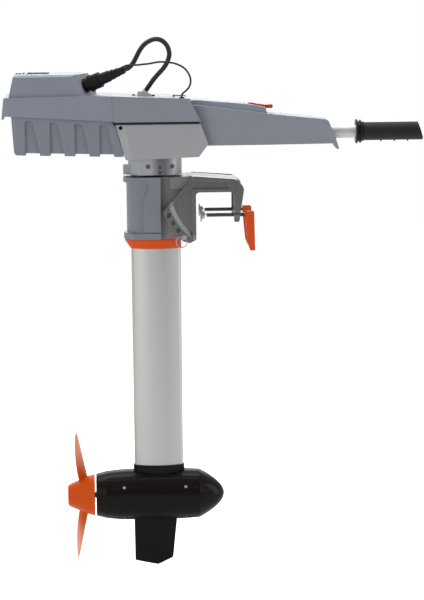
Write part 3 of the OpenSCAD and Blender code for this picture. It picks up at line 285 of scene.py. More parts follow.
class Surface(Nodes):
    """Nodes of one material about a Principled shader.

    Attributes:
        NOISE_BAND: Range in which most values of a noise lie.
        NOISE_ROUGHNESS: Share that each octave of a noise has of the one before it.
        EDGE_SAMPLES: Rays that look for a neighbouring face at an edge.
        FLAT: Dot product of softened and plain normal away from edges.
        EDGE: Dot product at which the mask of the edges is full.
        MIX_INPUTS: Places of the factor and of the two colours among a mix node's inputs.
        MIX_RESULT: Place of the colour among its outputs.
    """

    NOISE_BAND = (0.3, 0.7)
    NOISE_ROUGHNESS = 0.55
    EDGE_SAMPLES = 6
    FLAT, EDGE = 1.0, 0.86
    MIX_INPUTS = (0, 6, 7)
    MIX_RESULT = 2

    def __init__(self, name: str) -> None:
        """Makes a material with a plain shader.

        Args:
            name: Name of the material.
        """
        self.material = bpy.data.materials.new(name)
        self.material.use_nodes = True
        super().__init__(self.material.node_tree)
        out = self.node("ShaderNodeOutputMaterial")
        self.shader = self.node("ShaderNodeBsdfPrincipled")
        self.feed(out.inputs["Surface"], self.shader.outputs["BSDF"])
        self.coords = self.node("ShaderNodeTexCoord").outputs["Object"]

    def put(self, name: str, value: object) -> None:
        """Sets or links one of the shader's sockets by its name."""
        self.feed(self.shader.inputs[name], value)

    def noise(self, size: float, detail: float = 2.0, streaks: Streaks | None = None) -> Socket:
        """Noise over object coordinates.

        Args:
            size: Size of the noise's features.
            detail: Number of octaves.
            streaks: Direction in which the features are drawn out, if any.

        Returns:
            The noise's value socket.
        """
        source = self.coords
        if streaks is not None:
            mapping = self.node("ShaderNodeMapping", Scale=streaks.value)
            self.feed(mapping.inputs["Vector"], source)
            source = mapping.outputs["Vector"]
        made = self.node("ShaderNodeTexNoise", Scale=1.0 / size, Detail=detail)
        self.feed(made.inputs["Roughness"], self.NOISE_ROUGHNESS)
        self.feed(made.inputs["Vector"], source)
        return made.outputs["Fac"]

    def spread(self, noise: Socket, low: float, high: float) -> Socket:
        """Maps the band in which most of a noise lies to the range from low to high."""
        return self.ramp(noise, *self.NOISE_BAND, low, high)

    def mix(self, factor: Socket, first: Colour | Socket, second: Colour | Socket) -> Socket:
        """Colour between two colours by a factor.

        Args:
            factor: Socket from 0 to 1.
            first: Colour at 0.
            second: Colour at 1.

        Returns:
            The colour socket.
        """
        made = self.node("ShaderNodeMix", data_type="RGBA")
        for place, value in zip(self.MIX_INPUTS, (factor, first, second)):
            self.feed(made.inputs[place], value if isinstance(value, Socket) else (*value, 1.0))
        return made.outputs[self.MIX_RESULT]

    def edges(self, radius: float) -> tuple[Socket, Socket]:
        """Normal with softened edges, and a mask that is 1 on them.

        The mask grows as the dot product of the softened and the plain normal falls.

        Args:
            radius: Radius of the softened edge.

        Returns:
            The normal socket and the mask socket.
        """
        soft = self.node("ShaderNodeBevel", samples=self.EDGE_SAMPLES, Radius=radius).outputs["Normal"]
        plain = self.node("ShaderNodeNewGeometry").outputs["Normal"]
        alike = self.vector("DOT_PRODUCT", soft, plain).outputs["Value"]
        return soft, self.ramp(alike, self.FLAT, self.EDGE, 0.0, 1.0)

    def bump(self, height: Socket, depth: float, normal: Socket) -> Socket:
        """Relief over a softened normal.

        Args:
            height: Height socket from 0 to 1.
            depth: Depth of the relief.
            normal: Normal to start from.

        Returns:
            The bumped normal socket.
        """
        made = self.node("ShaderNodeBump", Strength=1.0, Distance=depth)
        self.feed(made.inputs["Height"], height)
        self.feed(made.inputs["Normal"], normal)
        return made.outputs["Normal"]


CLOUD_SIZE = 0.05
GLOSS_SIZE = 0.012
GLOSS_SPREAD = (-0.05, 0.06)
PATCH_SIZE = 0.004
PATCH_WEAR = (0.25, 0.8)
WORN_LIFT = 0.004
COAT_ROUGHNESS = 0.12
STREAK_GLOSS = (-0.04, 0.05)


@dataclass(frozen=True)
class Grained:
    """Moulded or cast surface with a fine grain, faint cloudiness and lightly rubbed edges.

    Attributes:
        name: Name of the finish.
        colour: Base colour, linear.
        roughness: Middle roughness.
        grain: Size of the grain.
        depth: Depth of the grain.
        cloud: Change in lightness of the slow cloudiness.
        rub: Lightness of the rubbed edges against the base colour.
        edge: Radius of softened edges.
        metallic: Metallic share.
        coat: Weight of a clear coat.
        specular: Level of the plain reflection, where 0.5 is that of common plastic.
    """

    name: str
    colour: Colour
    roughness: float
    grain: float = 0.0007
    depth: float = 0.00003
    cloud: float = 0.05
    rub: float = 1.12
    edge: float = 0.0012
    metallic: float = 0.0
    coat: float = 0.0
    specular: float = 0.4

    def build(self) -> bpy.types.Material:
        """Builds the node material.

        Returns:
            The material.
        """
        graph = Surface(self.name)
        normal, edge = graph.edges(self.edge)
        patches = graph.spread(graph.noise(PATCH_SIZE, detail=3.0), *PATCH_WEAR)
        worn = shaded(self.colour, self.rub, WORN_LIFT)
        rubbed = graph.calc("MULTIPLY", edge, patches)
        graph.put("Base Color", graph.mix(rubbed, self.body_colour(graph), worn))
        shiny, dull = (self.roughness + change for change in GLOSS_SPREAD)
        graph.put("Roughness", graph.spread(graph.noise(GLOSS_SIZE, detail=4.0), shiny, dull))
        graph.put("Normal", graph.bump(graph.noise(self.grain), self.depth, normal))
        graph.put("Metallic", self.metallic)
        graph.put("Specular IOR Level", self.specular)
        graph.put("Coat Weight", self.coat)
        graph.put("Coat Roughness", COAT_ROUGHNESS)
        return graph.material

    def body_colour(self, graph: Surface) -> Socket:
        """Socket of the cloudy base colour away from the edges."""
        dark, light = (shaded(self.colour, 1.0 + change) for change in (-self.cloud, self.cloud))
        return graph.mix(graph.noise(CLOUD_SIZE, detail=3.0), dark, light)


@dataclass(frozen=True)
class Graded(Grained):
    """Grained surface whose colour changes with the distance from a point, a line or a plane.

    Attributes:
        far: Colour beyond the far distance, linear.
        centre: Point that the distance is measured from.
        weights: Share of each axis in the distance.
        near_far: Distances between which the colour changes.
        back: Distance from which the base colour comes back, if it does.
    """

    far: Colour = WHITE
    centre: Point = (0.0, 0.0, 0.0)
    weights: Point = (1.0, 1.0, 1.0)
    near_far: tuple[float, float] = (0.0, 0.1)
    back: float | None = None

    def body_colour(self, graph: Surface) -> Socket:
        """Cloudy base colour that goes over into the far colour.

        Args:
            graph: Nodes of the material.

        Returns:
            The colour socket.
        """
        offset = graph.vector("SUBTRACT", graph.coords, self.centre).outputs["Vector"]
        weighed = graph.vector("MULTIPLY", offset, self.weights).outputs["Vector"]
        distance = graph.vector("LENGTH", weighed).outputs["Value"]
        near, far = self.near_far
        amount = graph.ramp(distance, near, far, 0.0, 1.0, smooth=True)
        if self.back is not None:
            fall = graph.ramp(distance, self.back, self.back + far - near, 1.0, 0.0, smooth=True)
            amount = graph.calc("MULTIPLY", amount, fall)
        return graph.mix(amount, super().body_colour(graph), self.far)


@dataclass(frozen=True)
class Drawn:
    """Drawn or brushed metal with fine streaks along one axis.

    Attributes:
        name: Name of the finish.
        colour: Base colour, linear.
        roughness: Middle roughness.
        streaks: Direction of the streaks.
        metallic: Metallic share.
        streak: Change in lightness of the streaks.
        width: Width of a streak.
        depth: Depth of a streak.
        edge: Radius of softened edges.
    """

    name: str
    colour: Colour
    roughness: float
    streaks: Streaks = Streaks.ALONG_X
    metallic: float = 1.0
    streak: float = 0.06
    width: float = 0.0011
    depth: float = 0.000012
    edge: float = 0.0006

    def build(self) -> bpy.types.Material:
        """Builds the node material.

        Returns:
            The material.
        """
        graph = Surface(self.name)
        lines = graph.noise(self.width, detail=4.0, streaks=self.streaks)
        dark, light = (shaded(self.colour, 1.0 + change) for change in (-self.streak, self.streak))
        graph.put("Base Color", graph.mix(lines, dark, light))
        shiny, dull = (self.roughness + change for change in STREAK_GLOSS)
        graph.put("Roughness", graph.spread(lines, shiny, dull))
        graph.put("Normal", graph.bump(lines, self.depth, graph.edges(self.edge)[0]))
        graph.put("Metallic", self.metallic)
        return graph.material


class Finish(Enum):
    """Finishes of the outboard's pieces."""

    SHELL = Grained("shell_blue_grey", srgb(130, 134, 144), 0.56, specular=0.25)
    COVER = Grained("cover_blue_grey", srgb(129, 132, 142), 0.56, edge=0.0005, specular=0.25)
    CASE = Grained("battery_blue_grey", srgb(128, 132, 143), 0.56, edge=0.0006, specular=0.25)
    RIBBED = Grained("battery_ribbed_grey", srgb(123, 126, 136), 0.56, edge=0.003, specular=0.25)
    FRAME = Grained("frame_warm_grey", srgb(149, 151, 154), 0.45, grain=0.0009, depth=0.00004)
    # The tongue in front of the column is plain grey, from a plane square to X
    COLUMN = Graded(
        "column_paint", srgb(113, 119, 129), 0.46, grain=0.0012, depth=0.00005, edge=0.0022,
        far=srgb(113, 112, 112), centre=(-0.2, 0.0, 0.0), weights=(1.0, 0.0, 0.0), near_far=(0.0918, 0.0926),
    )
    # Painted highlight: the slanted wall beside the trim quadrant, a band of a circle about the tilt axis,
    # is lighter as if lit from above
    CLAMP = Graded(
        "clamp_casting", srgb(86, 86, 87), 0.3, grain=0.0011, depth=0.00005, rub=1.5, edge=0.0016,
        metallic=0.55, specular=0.6, far=srgb(115, 116, 118), centre=(0.040, 0.0, 0.014),
        weights=(1.0, 0.0, 1.0), near_far=(0.1285, 0.1297), back=0.1372,
    )
    # Painted reflection: the ring is dark across the steering axis and lightens to both sides of it
    COLLAR = Graded(
        "collar_metal", srgb(92, 93, 95), 0.4, grain=0.0016, depth=0.00016, metallic=0.3, rub=1.3,
        far=srgb(150, 153, 157), centre=(-0.104, 0.0, 0.0), weights=(1.0, 0.0, 0.0), near_far=(0.004, 0.026),
    )
    ORANGE = Grained(
        "orange_plastic", srgb(200, 73, 22), 0.42, grain=0.0006, depth=0.00002, cloud=0.03, rub=1.06,
        specular=0.15,
    )
    # Painted sheen: the blades pale towards their tips, by the distance from the propeller's axis
    BLADE = Graded(
        "propeller_plastic", srgb(194, 74, 8), 0.4, grain=0.0006, depth=0.00002, cloud=0.03, rub=1.06,
        specular=0.1, far=srgb(230, 134, 106), centre=(0.0, 0.0, -0.625), weights=(0.0, 1.0, 1.0),
        near_far=(0.04, 0.1),
    )
    POD = Grained(
        "pod_black", srgb(20, 16, 15), 0.3, grain=0.0005, depth=0.000008, cloud=0.15, rub=1.8, coat=0.06,
        specular=0.03,
    )
    BLACK = Grained("black_plastic", srgb(19, 16, 17), 0.46, cloud=0.1, rub=1.7, specular=0.11)
    RUBBER = Grained(
        "black_rubber", srgb(33, 31, 34), 0.62, grain=0.0005, depth=0.00006, cloud=0.12, rub=1.3,
        specular=0.15,
    )
    JACKET = Grained(
        "cable_jacket", srgb(34, 30, 31), 0.48, grain=0.0004, cloud=0.1, rub=1.2, edge=0.0003, specular=0.2
    )
    PALE = Grained("pale_plastic", srgb(176, 178, 180), 0.45)
    BOARD = Grained("potting", srgb(40, 62, 48), 0.5)
    CELLS = Grained("cell_wrap", srgb(70, 104, 148), 0.4)
    THREAD = Grained("dark_screw", srgb(66, 60, 56), 0.36, metallic=0.75, rub=1.6, edge=0.0003)
    TUBE = Drawn("pylon_silver", srgb(162, 161, 159), 0.42, Streaks.ALONG_Z, metallic=0.6, streak=0.025)
    BARREL = Drawn("tiller_tube_silver", srgb(182, 182, 183), 0.5, metallic=0.4, streak=0.02)
    STEEL = Drawn("bright_steel", srgb(196, 196, 194), 0.28)
    DULL_STEEL = Drawn("dull_steel", srgb(140, 140, 140), 0.4)
    DARK_STEEL = Drawn("dark_steel", srgb(92, 92, 94), 0.36)
    COPPER = Drawn("wound_copper", srgb(186, 116, 78), 0.4)


SOLIDS: dict[Finish, tuple[str, ...]] = {
    Finish.SHELL: ("tiller_shell", "tiller_floor"),
    Finish.COVER: ("head_cover",),
    Finish.CASE: ("battery_cover",),
    Finish.RIBBED: ("battery_case",),
    Finish.FRAME: ("head_frame",),
    Finish.COLUMN: ("swivel_housing",),
    Finish.CLAMP: ("clamp_bracket",),
    Finish.COLLAR: ("head_collar",),
    Finish.ORANGE: ("lever_near", "lever_far", "thrust_collar", "kill_key"),
    Finish.BLADE: ("propeller",),
    Finish.POD: ("pod_body", "nose_cap", "fin"),
    Finish.BLACK: (
        "bush_upper", "bush_lower", "battery_pin", "battery_socket", "power_plug", "kill_seat",
        "grip_collar", "grip_cap",
    ),
    Finish.RUBBER: ("head_seal", "data_grommet", "throttle_grip", "shaft_seal"),
    Finish.PALE: ("cable_gland",),
    Finish.BOARD: ("controller",),
    Finish.CELLS: ("battery_core",),
    Finish.TUBE: ("steering_tube", "pylon"),
    Finish.BARREL: ("tiller_tube",),
    Finish.STEEL: (
        "pad_ball_near", "pad_ball_far", "lever_pin_near", "lever_pin_far", "fold_pin", "pod_screws",
        "bearing_rear", "bearing_front", "drive_pin", "prop_nut",
    ),
    Finish.DULL_STEEL: ("trim_pin", "trim_ring", "clamp_pad_near", "clamp_pad_far"),
    Finish.DARK_STEEL: ("tilt_pin", "collar_screws", "rotor"),
    Finish.COPPER: ("stator",),
}


class Workshop:
    """Keeps the frame and the built materials, and turns grids of points into pieces.

    Attributes:
        CREASE: Angle between two faces from which their edge is sharp.
    """

    CREASE = 40.0

    def __init__(self) -> None:
        """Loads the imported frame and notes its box."""
        self.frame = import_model()
        self.cad_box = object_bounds()
        self.materials: dict[Finish, bpy.types.Material] = {}

    def dress(self, piece: bpy.types.Object, finish: Finish) -> None:
        """Gives a piece one finish, whose material is built once.

        Args:
            piece: Piece or solid.
            finish: Finish of the piece.
        """
        if finish not in self.materials:
            self.materials[finish] = finish.value.build()
        piece.data.materials.clear()
        piece.data.materials.append(self.materials[finish])

    def dress_solids(self) -> None:
        """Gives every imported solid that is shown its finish."""
        for finish, names in SOLIDS.items():
            for name in names:
                self.dress(self.frame["nodes"][name], finish)
                LOG.info("dressed %s in %s", name, finish.value.name)

    def grid(
        self, name: str, points: Array, body: str, finish: Finish, ring_of_rows: bool = False
    ) -> bpy.types.Object:
        """Piece from a grid of points, row by row.

        Quads join neighbouring points, and each row joins its last point to its first. The first
        and last rows are closed by one face each, or join each other in a ring of rows.

        Args:
            name: Name of the piece.
            points: Array of rows, columns and three coordinates.
            body: Body that the piece rides on.
            finish: Finish of the piece.
            ring_of_rows: Whether the last row joins the first.

        Returns:
            The new piece.
        """
        rows, cols = points.shape[:2]
        i, j = np.meshgrid(np.arange(rows if ring_of_rows else rows - 1), np.arange(cols), indexing="ij")
        this, then, k = i * cols, (i + 1) % rows * cols, (j + 1) % cols
        faces = np.stack([this + j, this + k, then + k, then + j], axis=-1).reshape(-1, 4).tolist()
        if not ring_of_rows:
            faces.append(list(range(cols - 1, -1, -1)))
            faces.append(list(range((rows - 1) * cols, rows * cols)))
        mesh = bpy.data.meshes.new(name)
        mesh.from_pydata(points.reshape(-1, 3).tolist(), [], faces)
        mesh.shade_smooth()
        mesh.set_sharp_from_angle(angle=math.radians(self.CREASE))
        mesh.update()
        piece = bpy.data.objects.new(name, mesh)
        bpy.context.scene.collection.objects.link(piece)
        self.dress(piece, finish)
        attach(piece, body)
        LOG.info("built %s with %d faces", name, len(faces))
        return piece


def metres(*points: Point) -> tuple[Point, ...]:
    """Points given in millimetres, in metres."""
    return tuple((x / 1000.0, y / 1000.0, z / 1000.0) for x, y, z in points)


# Routes of the two cables as in the part's source, from the plug's boot to the head
POWER_ROUTE = metres(
    (-178, -66, 246), (-168.5, -70.5, 250), (-160, -71, 259), (-153, -69, 271), (-146, -66, 284),
    (-137, -61, 295), (-126, -56, 302), (-115, -50, 305), (-104, -45, 303), (-95, -41, 296), (-89, -37, 286),
    (-87, -33, 273), (-91, -29, 259), (-99, -26, 246), (-110, -22, 234), (-120, -18, 222), (-127, -15, 212),
    (-134, -12, 202),
)
DATA_ROUTE = metres(
    (-182, -70, 251), (-172.5, -74.5, 255), (-163, -79, 256), (-152, -79, 256), (-140, -77, 257),
    (-128, -74, 258), (-116, -72, 260), (-104, -70, 261), (-92, -67, 260), (-80, -64, 258), (-69, -61, 254),
    (-59, -58, 248), (-52, -56, 240), (-47, -55, 230), (-46, -54, 220), (-49, -53, 210), (-56, -52, 202),
    (-62, -52, 197), (-64, -52, 193), (-64, -52, 190),
)


@dataclass(frozen=True)
class Cable:
    """Round cable that follows a route of points from one seat to another.

    Attributes:
        name: Name of the solid that it stands for.
        route: Points, first at the plug and last at the housing.
        diameter: Diameter of the cable.
        sides: Points round the cable.
        per_span: Rings between two points of the route.
    """

    name: str
    route: tuple[Point, ...]
    diameter: float
    sides: int = 20
    per_span: int = 6

    def path(self) -> Array:
        """Smooth run of points through the route.

        Each span is a cubic between two points of the route. Its tangents come from the four
        nearest points, timed by the square roots of their distances, and cubic weights blend
        the end points and tangents.

        Returns:
            Rows of points.
        """
        given = np.array(self.route, float)
        ends = np.vstack([2 * given[0] - given[1], given, 2 * given[-1] - given[-2]])
        step = np.sqrt(np.linalg.norm(np.diff(ends, axis=0), axis=1))
        p0, p1, p2, p3 = ends[:-3], ends[1:-2], ends[2:-1], ends[3:]
        d0, d1, d2 = (step[k : len(step) - 2 + k, None] for k in range(3))
        m1 = d1 * ((p1 - p0) / d0 - (p2 - p0) / (d0 + d1) + (p2 - p1) / d1)
        m2 = d1 * ((p2 - p1) / d1 - (p3 - p1) / (d1 + d2) + (p3 - p2) / d2)
        t = (np.arange(self.per_span) / self.per_span)[None, :, None]
        spans = (
            (2 * t**3 - 3 * t**2 + 1) * p1[:, None]
            + (t**3 - 2 * t**2 + t) * m1[:, None]
            + (3 * t**2 - 2 * t**3) * p2[:, None]
            + (t**3 - t**2) * m2[:, None]
        )
        return np.vstack([spans.reshape(-1, 3), given[-1:]])

    def build(self, shop: Workshop, body: str, far_end: str, pieces: list[bpy.types.Object]) -> None:
        """Args:
            shop: Workshop with the frame.
            body: Body that the cable rides on.
            far_end: What is on the cable's far end. Not used.
            pieces: Separate pieces on the cable. Not used.
        """
        path = self.path()
        tube = rings(path, np.gradient(path, axis=0), self.diameter / 2, self.sides)
        piece = shop.grid(self.name + "_jacket", tube, body, Finish.JACKET)
        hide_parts(self.name)


@dataclass(frozen=True)
class Turned:
    """Small round piece of black plastic: a profile turned about an axis.

    Attributes:
        name: Name of the piece.
        foot: Point on the axis.
        axis: Direction of the axis.
        profile: Pairs of radius and distance from the foot.
        sides: Points round the piece.
    """

    name: str
    foot: Point
    axis: Point
    profile: Profile
    sides: int = 28

    def build(self, shop: Workshop, body: str) -> bpy.types.Object:
        """Builds the piece: each profile point becomes a ring square to the axis.

        Args:
            shop: Workshop with the frame.
            body: Body that the piece rides on.

        Returns:
            The new piece.
        """
        axis = unit(np.array(self.axis))
        radius, along = np.array(self.profile).T
        surface = rings(np.array(self.foot) + along[:, None] * axis, axis, radius, self.sides)
        piece = shop.grid(self.name, surface, body, Finish.BLACK)
        return piece


@dataclass(frozen=True)
class GlandScrews:
    """Two domed screw heads beside the cable gland on the cover's top.

    Attributes:
        feet: Name and foot of each screw.
        axis: Direction of the screws.
        dome: Profile of a head.
    """

    feet: tuple[tuple[str, Point], ...] = (
        ("gland_screw_back", (-0.1585, -0.009, 0.1917)),
        ("gland_screw_front", (-0.1195, -0.009, 0.1902)),
    )
    axis: Point = (0.04, 0.0, 1.0)
    dome: Profile = (
        (0.0034, -0.001), (0.0034, 0.0012), (0.0031, 0.0019), (0.0022, 0.0025), (0.0009, 0.0028),
    )

    def build(self, shop: Workshop, body: str) -> None:
        """Builds both heads in the workshop, to ride on a body."""
        for name, foot in self.feet:
            Turned(name, foot, self.axis, self.dome).build(shop, body)


@dataclass(frozen=True)
class PlugBoot:
    """Raised rings of the plug's boot, along the line from the socket to the cable.

    Attributes:
        start: Start of the line, at the socket.
        end: End of the line, at the cable.
        places: Share of the line at each ring.
        radii: Outer radius of each ring.
        height: Height of a ring.
        half_foot: Half the width of a ring's foot.
        half_crest: Half the width of its crest.
    """

    start: Point = (-0.254, -0.030, 0.214)
    end: Point = POWER_ROUTE[0]
    places: tuple[float, ...] = (0.60, 0.72, 0.84)
    radii: tuple[float, ...] = (0.0115, 0.0102, 0.0089)
    height: float = 0.0016
    half_foot: float = 0.0016
    half_crest: float = 0.0009

    def build(self, shop: Workshop, body: str) -> list[bpy.types.Object]:
        """Builds the rings, each a low wall with sloping sides.

        Args:
            shop: Workshop with the frame.
            body: Body that the rings ride on.

        Returns:
            The new pieces.
        """
        start = np.array(self.start)
        line = np.array(self.end) - start
        made = []
        for index, (share, radius) in enumerate(zip(self.places, self.radii)):
            low = radius - self.height
            rise = ((low, -self.half_foot), (radius, -self.half_crest))
            fall = ((radius, self.half_crest), (low, self.half_foot))
            ring = Turned(f"boot_rib_{index}", tuple(start + line * share), tuple(line), rise + fall)
            made.append(ring.build(shop, body))
        return made


class Side(Enum):
    """Side of the clamp that a screw is on."""

    NEAR = "near"
    FAR = "far"


@dataclass(frozen=True)
class ClampScrew:
    """Clamp screw with a cut thread and a flat eye, in place of its plain solid.

    Attributes:
        side: Side of the clamp.
        radius: Outer radius of the thread.
        pitch: Distance between two turns.
        depth: Depth of the thread.
        steepness: Steepness of the flanks, where 1 leaves no flat crest or root.
        fade_turns: Turns over which the thread runs out.
        rings_per_turn: Rings of points along one turn.
        sides: Points round the rod.
        neck_radius: Radius of the neck in the ball.
        neck_length: Length of that neck.
        eye_thickness: Thickness of the flat eye.
        eye_sides: Points round the eye.
        tongue_length: Distance from the eye's hole to the thread's end.
        tongue_half: Half the height of the tongue between eye and thread.
        hole_radius: Radius of the eye's hole.
        bevel: Width of the eye's bevelled edges.
    """

    side: Side
    radius: float = 0.004
    pitch: float = 0.002
    depth: float = 0.0006
    steepness: float = 1.5
    fade_turns: float = 2.0
    rings_per_turn: int = 7
    sides: int = 20
    neck_radius: float = 0.002
    neck_length: float = 0.006
    eye_thickness: float = 0.006
    eye_sides: int = 64
    tongue_length: float = 0.0135
    tongue_half: float = 0.003
    hole_radius: float = 0.00205
    bevel: float = 0.0005

    def thread(self, start: float, end: float, y: float, z: float) -> Array:
        """Rings of the rod along X.

        The radius falls from the crest by a triangle wave of the distance along X less the
        share of a turn, so that its valley winds round the rod. The wave fades out at the end.

        Args:
            start: Place of the neck's end in the ball along X.
            end: Place of the thread's end along X.
            y: Place of the axis along Y.
            z: Place of the axis along Z.

        Returns:
            Grid of rows of points.
        """
        neck_end = start + self.neck_length
        cut = np.arange(neck_end, end, self.pitch / self.rings_per_turn)[:, None]
        angle = np.linspace(0.0, FULL_TURN, self.sides, endpoint=False)[None, :]
        wave = np.abs((cut / self.pitch - angle / FULL_TURN) % 1.0 * 2.0 - 1.0)
        flank = np.clip(0.5 + self.steepness * (wave - 0.5), 0.0, 1.0)
        fade = np.clip((end - cut) / (self.fade_turns * self.pitch), 0.0, 1.0)
        neck = np.full((2, self.sides), self.neck_radius)
        last = np.full((1, self.sides), self.radius)
        radius = np.vstack([neck, self.radius - self.depth * fade * flank, last])
        along = np.vstack([[[start], [neck_end]], cut, [[end]]])
        across, upwards = y + radius * np.cos(angle), z + radius * np.sin(angle)
        return np.stack(np.broadcast_arrays(along, across, upwards), axis=-1)

    def eye(self, hinge: float, eye_radius: float, y: float, z: float) -> Array:
        """Loops of the flat eye about its hole, with bevelled edges.

        In the direction of an angle the outline is as far from the hole as the eye's radius,
        or as the tongue's end or side where these lie further out.

        Args:
            hinge: Place of the hole along X.
            eye_radius: Radius of the eye's round end.
            y: Place of the middle along Y.
            z: Place of the hole along Z.

        Returns:
            Grid of loops, a ring of rows.
        """
        angle = np.linspace(FULL_TURN, 0.0, self.eye_sides, endpoint=False)
        cos, sin = np.cos(angle), np.sin(angle)
        tiny = 1e-6
        to_end = self.tongue_length / np.maximum(np.abs(cos), tiny)
        to_side = self.tongue_half / np.maximum(np.abs(sin), tiny)
        tongue = np.where(cos < 0.0, np.minimum(to_end, to_side), 0.0)
        rim = np.maximum(eye_radius, tongue)
        hole = np.full_like(rim, self.hole_radius)
        rim_in, hole_out = rim - self.bevel, hole + self.bevel
        half = self.eye_thickness / 2
        flat = half - self.bevel
        reach = np.stack([rim_in, rim, rim, rim_in, hole_out, hole, hole, hole_out])
        across = y + np.array([-half, -flat, flat, half, half, flat, -flat, -half])[:, None]
        return np.stack(np.broadcast_arrays(hinge + reach * cos, across, z + reach * sin), axis=-1)

    def build(self, shop: Workshop) -> None:
        """Builds the rod and the eye where the plain solid is, and hides it.

        Args:
            shop: Workshop with the frame.
        """
        node = f"clamp_screw_{self.side.value}"
        body = f"screw_{self.side.value}"
        low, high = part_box(node)
        y, z, eye_radius = (low.y + high.y) / 2, (low.z + high.z) / 2, (high.z - low.z) / 2
        hinge = high.x - eye_radius
        thread = self.thread(low.x, hinge - self.tongue_length, y, z)
        rod = shop.grid(node + "_thread", thread, body, Finish.THREAD)
        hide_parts(node)
        loops = self.eye(hinge, eye_radius, y, z)
        eye = shop.grid(node + "_eye", loops, body, Finish.THREAD, ring_of_rows=True)


@dataclass(frozen=True)
class Lamp:
    """One rectangular soft light.

    Attributes:
        name: Name of the light.
        place: Centre of the light.
        aim: Point that it faces.
        size: Width and height.
        watts: Power of the light.
        STEEP: Upward share of the direction from which a light counts as overhead.
    """

    STEEP = 0.9
    name: str
    place: Point
    aim: Point
    size: tuple[float, float]
    watts: float

    def build(self) -> None:
        """Adds the light to the scene."""
        data = bpy.data.lights.new(self.name, "AREA")
        data.shape = "RECTANGLE"
        data.size, data.size_y = self.size
        data.energy = self.watts
        light = bpy.data.objects.new(self.name, data)
        back = unit(np.array(self.place) - np.array(self.aim))
        steep = abs(back[2]) >= self.STEEP
        right = unit(np.cross(ACROSS if steep else UPWARDS, back))
        light.matrix_world = placed(right, np.cross(back, right), back, self.place)
        bpy.context.scene.collection.objects.link(light)


LAMPS = (
    Lamp("overhead", (-0.2, 0.5, 2.2), (-0.05, 0.0, 0.0), (2.4, 1.8), 78.0),
    Lamp("left_front", (-2.2, -2.2, 0.5), (-0.1, 0.0, -0.2), (1.4, 2.2), 27.5),
    Lamp("low_front", (-0.8, -2.4, -0.6), (-0.2, 0.0, 0.05), (2.4, 0.8), 6.0),
    Lamp("back_rim", (-0.2, 2.4, 0.8), (-0.1, 0.0, 0.1), (3.0, 0.9), 36.0),
    Lamp("right_fill", (2.4, -1.6, 0.75), (0.0, 0.0, -0.1), (1.0, 2.0), 11.0),
    Lamp("right_rim", (2.8, -0.2, 0.1), (-0.1, 0.0, -0.3), (0.8, 2.2), 24.0),
)


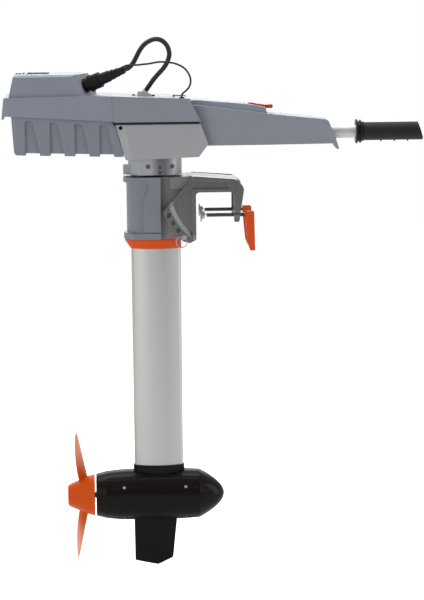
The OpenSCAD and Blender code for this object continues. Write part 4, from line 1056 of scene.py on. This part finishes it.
@dataclass(frozen=True)
class Studio:
    """Pale floor, soft light and a camera at the photographed angle.

    Attributes:
        eye: Place of the camera.
        yaw: Turn of the view to the right.
        pitch: Tilt of the view downwards.
        roll: Turn of the picture.
        focal_pixels: Focal length in pixels of the photograph.
        picture_height: Height of the photograph in pixels.
        sensor: Height of the camera's frame in millimetres.
        floor: Height of the floor.
        floor_half: Half the width of the floor.
        floor_colour: Colour of the floor, linear.
        floor_roughness: Roughness of the floor.
        floor_specular: Level of the floor's plain reflection.
        floor_lift: Light that the floor seems to give, where it is seen or mirrored.
        fill: Strength of the surround's light on the object.
        room: Strength of the room in front, as reflections show it.
        room_from: Forward share of a direction at which the room is as dim as that.
        room_to: Forward share at which it is white.
    """

    eye: Point = (-0.20987, -4.868, 0.50274)
    yaw: float = 2.4
    pitch: float = 8.5
    roll: float = 0.6
    focal_pixels: float = 2427.0
    picture_height: float = 600.0
    sensor: float = 36.0
    floor: float = -0.79
    floor_half: float = 6.0
    floor_colour: Colour = (0.8, 0.8, 0.8)
    floor_roughness: float = 0.9
    floor_specular: float = 0.1
    floor_lift: float = 0.7
    fill: float = 0.36
    room: float = 0.3
    room_from: float = -1.0
    room_to: float = -0.1

    def camera(self) -> None:
        """Places the camera by its heading, right and up vectors."""
        yaw, pitch, roll = (math.radians(v) for v in (self.yaw, self.pitch, self.roll))
        level = np.array([math.cos(yaw), -math.sin(yaw), 0.0])
        onwards = np.array([math.sin(yaw), math.cos(yaw), 0.0])
        ahead = math.cos(pitch) * onwards - math.sin(pitch) * UPWARDS
        upright = np.cross(level, ahead)
        right = math.cos(roll) * level - math.sin(roll) * upright
        up = math.sin(roll) * level + math.cos(roll) * upright
        data = bpy.data.cameras.new("camera")
        data.lens = self.focal_pixels * self.sensor / self.picture_height
        data.sensor_width = self.sensor
        data.sensor_fit = "AUTO"
        camera = bpy.data.objects.new("camera", data)
        camera.matrix_world = placed(right, up, -ahead, self.eye)
        bpy.context.scene.collection.objects.link(camera)
        bpy.context.scene.camera = camera

    def backdrop(self) -> None:
        """Adds the pale floor, which is seen and mirrored as plain white with a soft shadow."""
        half = self.floor_half
        square = ((-half, -half), (half, -half), (half, half), (-half, half))
        corners = [(x, y, self.floor) for x, y in square]
        mesh = bpy.data.meshes.new("floor")
        mesh.from_pydata(corners, [], [(0, 1, 2, 3)])
        floor = bpy.data.objects.new("floor", mesh)
        bpy.context.scene.collection.objects.link(floor)
        graph = Surface("floor_pale")
        graph.put("Base Color", (*self.floor_colour, 1.0))
        graph.put("Roughness", self.floor_roughness)
        graph.put("Specular IOR Level", self.floor_specular)
        graph.put("Emission Color", (*WHITE, 1.0))
        graph.put("Emission Strength", graph.calc("MULTIPLY", graph.seen_directly(), self.floor_lift))
        mesh.materials.append(graph.material)
        floor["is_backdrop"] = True

    def world(self) -> None:
        """Sets a white surround that lights the object evenly and shows white behind it.

        Reflections see the same white behind and beside the object, and a dimmer room in front
        of it, from where the picture is taken.
        """
        world = bpy.data.worlds.new("surround")
        world.use_nodes = True
        graph = Nodes(world.node_tree)
        level = graph.ramp(graph.seen_directly(), 0.0, 1.0, self.fill, 1.0)
        heading = graph.node("ShaderNodeSeparateXYZ")
        graph.feed(heading.inputs["Vector"], graph.node("ShaderNodeTexCoord").outputs["Generated"])
        room = graph.ramp(heading.outputs["Y"], self.room_from, self.room_to, self.room, 1.0, smooth=True)
        mirrored = graph.node("ShaderNodeMix")
        graph.feed(mirrored.inputs["Factor"], graph.node("ShaderNodeLightPath").outputs["Is Glossy Ray"])
        graph.feed(mirrored.inputs["A"], level)
        graph.feed(mirrored.inputs["B"], room)
        surround = graph.node("ShaderNodeBackground", Color=(*WHITE, 1.0))
        graph.feed(surround.inputs["Strength"], mirrored.outputs["Result"])
        out = graph.node("ShaderNodeOutputWorld")
        graph.feed(out.inputs["Surface"], surround.outputs["Background"])
        bpy.context.scene.world = world

    def build(self) -> None:
        """Builds the camera, floor, surround and lights."""
        self.camera()
        self.backdrop()
        self.world()
        for lamp in LAMPS:
            lamp.build()


def main() -> None:
    """Builds the studio, the cables and the dressed model."""
    logging.basicConfig(level=logging.INFO, format="%(message)s")
    bpy.context.scene.view_settings.view_transform = "Standard"
    shop = Workshop()
    Studio().build()
    head = "steer"
    plug = [shop.frame["nodes"]["power_plug"], *PlugBoot().build(shop, head)]
    Cable("power_cable", POWER_ROUTE, diameter=0.0095).build(shop, head, "plug", plug)
    Cable("data_cable", DATA_ROUTE, diameter=0.0038, sides=12).build(shop, head, "object", [])
    GlandScrews().build(shop, head)
    for side in Side:
        ClampScrew(side).build(shop)
    shop.dress_solids()


if __name__ == "__main__":
    main()
